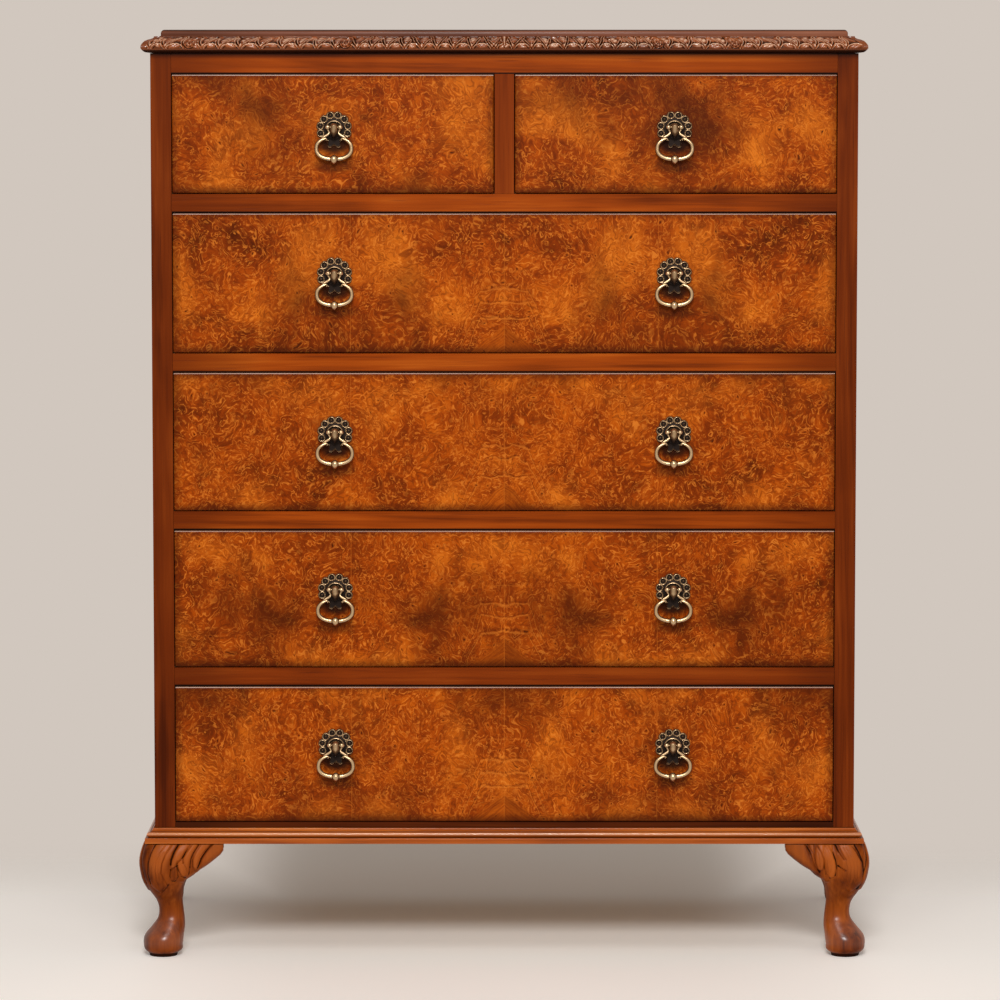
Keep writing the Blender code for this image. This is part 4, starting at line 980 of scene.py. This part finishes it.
board_low, board_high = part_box("top_board")
board_height = (board_high[2] - board_low[2]) / MM
LIP, LIP_RISE = 7.3, 21.3
CORNER = 2.0


def board_outline(inset):
    """Outline of the board at an inset (mm) from its front and sides, with small round corners, as
    columns of x and y. The rear edge stays flush with the carcass."""
    half, front = board_high[0] / MM - inset, board_low[1] / MM + inset
    left = arc((CORNER - half, front + CORNER), (CORNER, CORNER), 180, 270, 5)
    right = arc((half - CORNER, front + CORNER), (CORNER, CORNER), 270, 360, 5)
    rear = board_high[1] / MM
    return np.concatenate([[(-half, rear)], left, right, [(half, rear)]])


board_profile = np.concatenate([
    [(0.0, 0.0)], arc((1.4, LIP_RISE - 1.6), (-1.4, 1.6), 0, 90, 6),
    [(LIP - 0.8, LIP_RISE), (LIP, LIP_RISE + 0.8), (LIP, LIP_RISE + 2.0)],
    arc((LIP + 4.5, board_height - 5.0), (-4.5, 5.0), 0, 90, 10),
])
board_grid = np.stack([
    np.column_stack([outline, np.full(len(outline), board_low[2] / MM + rise)])
    for outline, rise in ((board_outline(inset), rise) for inset, rise in board_profile)
]) * MM


def dark_edge(place):
    """1 along the top of the rounded edge, just under the flat of the board, where the wood is
    darkened."""
    height = place.part(2)
    under_flat = height.step(board_high[2] - 0.00005, board_high[2] - 0.0003)
    return height.step(board_high[2] - 0.0022, board_high[2] - 0.0006) * under_flat


board_wood = walnut("walnut_top_board", 0, 29.0, (tint(76, 34, 16), tint(120, 66, 42), tint(150, 94, 68)),
                    coat=0.3, coat_roughness=0.3, soot=dark_edge)
board = skin("top_board_polished", board_grid, "root", board_wood)
board.data.set_sharp_from_angle(angle=math.radians(35))
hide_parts("top_board")


# Pull plates
# Cast brass backplates: eight cupped petals round the upper half, a small two-lobed tail, two raised
# arcs over a knuckle that holds the ring's pins, and a shank with a nut inside the drawer.

PLATE_DROP, PIVOT_PROUD, PLATE_RADIUS, PETAL_DEPTH = 2.4, 10.5, 22.8, 3.4
PETALS, PETAL_START, PETAL_PITCH = 8, -33.0, 30.75
DOME_RADIUS = 14.0
# Outline of the tail: degrees from straight down and radius (mm); and the knuckle's widths and reaches
TAIL = np.array([(0, 20.4), (4, 21.6), (10.6, 24.2), (17.6, 24.4), (21.8, 22.4), (24.8, 17.0), (40, 16.6),
                 (57, 19.4)])
KNUCKLE_HALVES = np.array([(-13.8, 0.7), (-12.6, 2.2), (-9, 3.8), (-4, 4.6), (0.5, 4.7), (3.2, 3.9),
                           (4.9, 1.6)])
KNUCKLE_REACHES = np.array([(-13.8, 0.6), (-12, 2.6), (-7, 5.2), (-1, 6.2), (2, 5.6), (4, 3.6), (4.9, 1.6)])


def metal(name, roughness):
    """Old brass: pale where the mark attribute, in mm, is high, brown in between and nearly black where it
    is low, with a slow mottle of tarnish. On the plate the mark is rubbing and patina in the hollows; on
    the ring and the knuckle it is painted light and shade."""
    def recipe(start, place):
        mark = start.node("Attribute", {"attribute_name": "mark"}, output=2)
        mottle = place.noise(160.0, 3, 0.6)
        fine = place.noise(900.0, 2, 0.5)
        level = mark + (mottle - 0.5) * 0.7
        colour = level.step(-0.6, 0.2).between(tint(26, 13, 6), tint(98, 69, 43))
        colour = level.step(0.1, 0.8).between(colour, tint(202, 173, 134))
        relief = start.node("Bump", {}, {"Height": mottle + fine * 0.4, "Strength": 0.10,
                                         "Distance": 0.0002})
        return {"Base Color": colour, "Normal": relief, "Metallic": 0.72 + 0.26 * level.step(-0.2, 0.6),
                "Roughness": roughness + 0.22 * (1 - level.step(-0.3, 0.7)) + 0.10 * (mottle - 0.5)}
    return finish(name, recipe, **{"Specular IOR Level": 0.5})


def plate_grid(count, rings):
    """The plate from its back round the rim to the middle of its face. The outline is a circle that
    each petal swells by the root of a half sine wave, and below it a narrow tail. Each petal is a cup:
    a bell-shaped rim round a hollow with a dot. The dome in the middle has two arcs over its upper half."""
    turn = np.linspace(0, 360, count, endpoint=False)
    phase = ((turn - PETAL_START) % 360) / PETAL_PITCH
    petal = phase < PETALS
    swell = np.sqrt(np.maximum(np.sin(math.pi * (phase % 1)), 0.0))
    from_foot = np.abs((turn - 270 + 180) % 360 - 180)
    rim = np.where(petal, PLATE_RADIUS - PETAL_DEPTH * (1 - swell), np.interp(from_foot, *TAIL.T))
    share = 1 - np.linspace(0, 1, rings)[:, None] ** 1.1 * 0.97
    radius = share * (rim + (20.0 - rim) * ease(share, 0.86, 0.66))
    aside = ((phase % 1) - 0.5) * np.radians(PETAL_PITCH) * radius
    cup = np.hypot(aside / 3.9, (radius - 17.9) / 3.7)
    high = 1.3 + 1.2 * bell(cup, 1.04, 0.21) - 0.7 * np.clip(1 - cup**2, 0, 1) + 1.3 * bell(cup, 0, 0.36)
    high = np.where(petal, high, 1.0 + 1.6 * bell(rim - radius, 0.9, 0.8))
    dome = 2.0 + 0.9 * ease(radius, 11.5, 5)
    over = ease(np.sin(np.radians(turn)), -0.15, 0.35)
    for place, lift, half in ((10.3, 1.3, 0.75), (6.9, 1.7, 0.7)):
        dome = dome + over * lift * bell(radius, place, half)
    dome = dome - 0.8 * over * bell(radius, 8.6, 0.7)
    on_dome = ease(radius, DOME_RADIUS, DOME_RADIUS - 2)
    high = high + (dome - high) * on_dome
    mark = (high - 1.75) * 1.1 - 1.05 * on_dome - 0.4 * ease(radius, 6, 4)
    on_tail = mark + 0.4 - 0.9 * ease(rim - radius, 2, 4)
    mark = np.where(petal | (radius < DOME_RADIUS + 1), mark, on_tail)
    x, z = radius * np.cos(np.radians(turn)), radius * np.sin(np.radians(turn)) - PLATE_DROP
    face = np.stack([x, PIVOT_PROUD - 0.3 - high, z], axis=-1)
    back = np.stack([x[0], np.full(count, PIVOT_PROUD - 0.3), z[0]], axis=-1)[None]
    mid = back.copy()
    mid[..., 1] -= 0.7
    return np.concatenate([back, mid, face]), np.concatenate([np.full((2, count), -0.4), mark])


def knuckle_grid():
    """The knuckle: D-shaped rows from its pointed beak up to its rounded head, widths and reaches given
    for each height, with a soft ridge down the middle."""
    height = np.linspace(KNUCKLE_HALVES[0, 0], KNUCKLE_HALVES[-1, 0], 26)
    half, reach = (through(height, *stations.T) for stations in (KNUCKLE_HALVES, KNUCKLE_REACHES))
    turn = np.radians(np.linspace(180, 360, 21))[None, :]
    x = half[:, None] * np.sign(np.cos(turn)) * np.abs(np.cos(turn)) ** 0.8
    y = reach[:, None] * np.sin(turn) * (1 + 0.16 * bell(x, 0, 1.2))
    front = np.stack([x, y, height[:, None] + 0 * x], axis=-1)
    behind = front[:, [-1, 0]].copy()
    behind[..., 1] = PIVOT_PROUD - 1.4
    # Painted light: a highlight down the knuckle's middle, and shade towards its sides and over its lower
    # end.
    mark = 0.25 + 0.5 * bell(x, 0, 2.3) - 1.1 * ease(height[:, None], -4, -12)
    marks = np.concatenate([mark, np.full((len(height), 2), -0.6)], axis=1)
    return np.concatenate([front, behind], axis=1), marks


def turned(stations, axis, centre, count=16):
    """A turned form: circles of given radius at given places along an axis (0 = X, 1 = Y, 2 = Z)."""
    places, radii = np.array(stations, float).T
    turn = np.linspace(0, 2 * math.pi, count, endpoint=False)[None, :]
    first, second = [k for k in range(3) if k != axis]
    grid = np.zeros((len(places), count, 3)) + np.array(centre)
    grid[..., axis] += places[:, None]
    grid[..., first] += radii[:, None] * np.cos(turn)
    grid[..., second] += radii[:, None] * np.sin(turn)
    return grid


plate_face, plate_mark = plate_grid(240, 34)
knuckle, knuckle_mark = knuckle_grid()
shank = turned([(-1.2, 2.2), (21.8, 2.2), (27.6, 2.2), (28.0, 1.7)], 1, (0, PIVOT_PROUD, 0), 14)
nut = turned([(22.4, 5.6), (22.8, 6.2), (25.4, 6.2), (25.8, 5.6)], 1, (0, PIVOT_PROUD, 0), 6)
plate_grids = [plate_face, knuckle, shank, nut]
plate_marks = [plate_mark, knuckle_mark, np.zeros(shank.shape[:2]), np.zeros(nut.shape[:2])]
plate_metal = metal("aged_brass_plate", 0.32)
swings = [joint for joint in frame["joints"] if joint["type"] == "hinge"]
for joint in swings:
    pull = joint["name"].replace("_swing", "")
    grids = [grid * MM + np.array(joint["pos_m"]) for grid in plate_grids]
    plate = skin(pull + "_cast_plate", grids, joint["parent"], plate_metal, plate_marks)
    plate.data.set_sharp_from_angle(angle=math.radians(50))
    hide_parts(pull + "_plate")


# Pull rings
# A drop ring of round brass bar for each pull: its pins turn in the knuckle, two horns run out from
# them to the ring, whose ends curl in, and a pointed drop is threaded on at the foot between collars.

RING_HALF, RING_RISE, RING_SQUARENESS, RING_DROP = 22.1, 13.6, 2.3, 26.6
COLLAR_HALF, COLLAR_RADIUS = 8.6, 2.9
# Where the ring's end hooks in; how thick its bar is at shares of the way from there to the drop
RING_HOOK = np.array([(10.2, -16.6), (9.3, -15.9), (9.2, -14.9), (9.9, -14.4), (10.9, -14.2)])
RING_BAR = np.array([(0, 0.5), (0.05, 1.1), (0.16, 1.9), (0.5, 2.45), (0.85, 2.7), (1.0, 2.7)])
# A horn from the pin to the ring: x, z and radius (mm); pin and pointed drop: place on the axis, radius
HORN = np.array([
    (8.3, -0.6, 1.5), (7.7, -2.6, 1.3), (6.6, -4.6, 1.2), (5.9, -6.4, 1.25), (6.4, -8.0, 1.6),
    (8.6, -9.8, 1.8), (11.4, -11.4, 1.9), (13.6, -12.9, 1.9), (15.4, -14.4, 0.9),
])
PIN = [(1.2, 0.9), (1.4, 1.3), (5.0, 1.3), (5.2, 2.1), (6.0, 2.9), (7.7, 3.3), (9.4, 3.0), (10.5, 2.1),
       (11.0, 0.8)]
POINTED_DROP = [(-6.2, 0.4), (-5.7, 1.3), (-4.8, 2.5), (-3.4, 3.8), (-1.7, 4.8), (0.2, 5.1), (2.0, 4.6),
                (3.5, 3.5), (4.6, 2.1), (5.1, 0.7)]


def bar(path, radii, count=12):
    """A round bar bent in the XZ plane: circles of given radius, square to the path's direction."""
    path, radii = np.array(path, float), np.array(radii, float)
    ahead = np.gradient(path, axis=0)
    ahead /= np.linalg.norm(ahead, axis=1)[:, None]
    turn = np.linspace(0, 2 * math.pi, count, endpoint=False)[None, :]
    side = radii[:, None] * np.cos(turn)
    x = path[:, :1] - side * ahead[:, 1:]
    z = path[:, 1:] + side * ahead[:, :1]
    return np.stack([x, radii[:, None] * np.sin(turn), z], axis=-1)


def resampled(stations, count):
    """A smooth curve through rows of numbers, as this many rows at even shares of the way."""
    at = np.linspace(0, len(stations) - 1, count)
    return np.stack([through(at, np.arange(len(stations)), column) for column in stations.T], axis=1)


def ring_grids():
    """The ring is a superellipse, open at the top where its ends hook inwards; its bar thins towards
    them and ends at the foot in a collar on each side of the drop, with a thin neck between. A horn and
    a pin join it on both sides."""
    c, s = squircle(np.radians(np.linspace(64, -79, 60))[2:], RING_SQUARENESS)
    half = np.concatenate([RING_HOOK, np.stack([RING_HALF * c, RING_RISE * s - RING_DROP], axis=1)])
    half = resampled(half, 84)
    thick = through(np.linspace(0, 1, 84), *RING_BAR.T)
    thick = np.where((half[:, 0] < COLLAR_HALF) & (half[:, 1] < -RING_DROP), COLLAR_RADIUS, thick)
    thick[-1] = COLLAR_RADIUS - 0.6
    horn = resampled(HORN, 30)
    grids = []
    for sign in (1, -1):
        grids.append(bar(half * (sign, 1), thick))
        grids.append(bar(horn[:, :2] * (sign, 1), horn[:, 2]))
        grids.append(turned([(place * sign, radius) for place, radius in PIN], 0, (0, 0, 0)))
    foot = (0, 0, -RING_DROP - RING_RISE)
    grids.append(turned([(-6.4, 1.7), (6.4, 1.7)], 0, foot, 12))
    grids.append(turned(POINTED_DROP, 2, foot, 20))
    return grids


def painted_bar_light(grid):
    """The mark of a round bar or pin, a painted highlight along its front and painted shade towards its
    edges: it follows how far each point stands out, as a share of the most on its circle."""
    proud = -grid[..., 1] / np.abs(grid[..., 1]).max(axis=1, keepdims=True)
    return -0.45 + 1.35 * np.clip(proud, -0.3, 1)


ring_parts = ring_grids()
ring_painted_light = [painted_bar_light(grid) for grid in ring_parts]
ring_metal = metal("aged_brass_ring", 0.30)
for joint in swings:
    pull = joint["name"].replace("_swing", "")
    grids = [grid * MM + np.array(joint["pos_m"]) for grid in ring_parts]
    ring = skin(pull + "_ring", grids, joint["child"], ring_metal, ring_painted_light)
    ring.data.set_sharp_from_angle(angle=math.radians(50))
    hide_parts(pull + "_bail")


# Room, light and camera
# A plain pale floor that fades into the pale room, soft lamps high in front of the chest, and a long
# lens straight before the drawers, a little lower than the top, that looks slightly down.

# Half the floor's side; the camera's place, distance from the carcass's front, tilt and focal length
FLOOR_HALF = 4.5
CAMERA_X, CAMERA_DISTANCE, CAMERA_HEIGHT, CAMERA_PITCH, LENS = -0.0055, 5.96, 1.10, 4.92, 169.3


def straight_rays(start):
    """1 for rays from the camera and for mirrored and transmitted rays, 0 for the light that falls on
    the chest."""
    camera_ray, mirrored_ray, clear_ray = (start.node("LightPath", output=k) for k in (0, 3, 6))
    return camera_ray.most(mirrored_ray).most(clear_ray)


def floor_recipe(start, place):
    """Pale floor with a faint mottle, that fades out towards the back, sooner beside the chest than in
    its shadow, and all round between one metre and 2.6. Near the chest, beside it and before it, painted
    light makes the floor look a little brighter to the camera than the lamps make it, lifting the chest's
    shade there."""
    mottle = place.noise(1.2, 3, 0.5).step(0.2, 0.8)
    x, y, far = abs(place.part(0)), place.part(1), place.length()
    shadow = x.step(0.50, 0.28) * y.step(1.3, 0.8)
    # Painted light: the camera sees the floor brighter beside and before the chest.
    beside, before = x.step(0.22, 0.50), y.step(0.08, -0.10)
    painted_floor_light = (beside * 0.10).most(before * 0.085) + beside * y.step(0.5, 0.0) * 0.06
    painted_floor_light = painted_floor_light * far.step(1.4, 0.7) * straight_rays(start)
    return {"Base Color": mottle.between(tint(250, 247, 243), tint(254, 252, 248)),
            "Emission Color": painted_floor_light.between(tint(0, 0, 0), tint(255, 250, 245)),
            "Alpha": shadow.most(y.step(0.75, 0.15)) * far.step(2.6, 1.0)}


floor_mesh = bpy.data.meshes.new("floor")
floor_corners = [(FLOOR_HALF * x, FLOOR_HALF * y, 0) for x, y in ((-1, -1), (1, -1), (1, 1), (-1, 1))]
floor_mesh.from_pydata(floor_corners, [], [(0, 1, 2, 3)])
floor = bpy.data.objects.new("floor", floor_mesh)
bpy.context.scene.collection.objects.link(floor)
floor_mesh.materials.append(finish("pale_floor", floor_recipe, Roughness=0.75,
                                   **{"Specular IOR Level": 0.1, "Emission Strength": 1.0}))

world = bpy.data.worlds.new("pale_room")
bpy.context.scene.world = world
world.use_nodes = True
world.node_tree.nodes.clear()
room = Socket(world.node_tree)
shown = room.node("Background", {}, {"Color": tint(209, 199, 190), "Strength": 1.0})
lit = room.node("Background", {}, {"Color": tint(219, 209, 199), "Strength": 0.46})
mixed = room.node("MixShader", {}, {0: straight_rays(room), 1: lit, 2: shown})
room.node("OutputWorld", {}, {"Surface": mixed})


def lamp(name, place, target, size, watts, colour=(1, 0.98, 0.955)):
    """A square soft lamp at a place, turned to shine at a target."""
    light = bpy.data.lights.new(name, "AREA")
    light.energy, light.size, light.color = watts, size, colour
    holder = bpy.data.objects.new(name, light)
    holder.location = place
    towards = np.array(target) - np.array(place)
    level = math.hypot(towards[0], towards[1])
    holder.rotation_euler = (math.atan2(level, -towards[2]), 0, math.atan2(-towards[0], towards[1]))
    bpy.context.scene.collection.objects.link(holder)


lamp("key", (-0.1, -5.3, 3.5), (0, 0, 0.6), 1.15, 148)
lamp("fill", (0.2, -5.6, 2.8), (0, 0, 0.6), 1.0, 55)
lamp("overhead", (0, -2.2, 3.7), (0, -0.3, 0.9), 1.2, 20)

camera_data = bpy.data.cameras.new("camera")
camera_data.lens, camera_data.sensor_width = LENS, 36.0
camera = bpy.data.objects.new("camera", camera_data)
camera.location = (CAMERA_X, FRONT_Y - CAMERA_DISTANCE, CAMERA_HEIGHT)
camera.rotation_euler = (math.radians(90 - CAMERA_PITCH), 0, 0)
bpy.context.scene.collection.objects.link(camera)
bpy.context.scene.camera = camera
bpy.context.scene.view_settings.view_transform = "Standard"
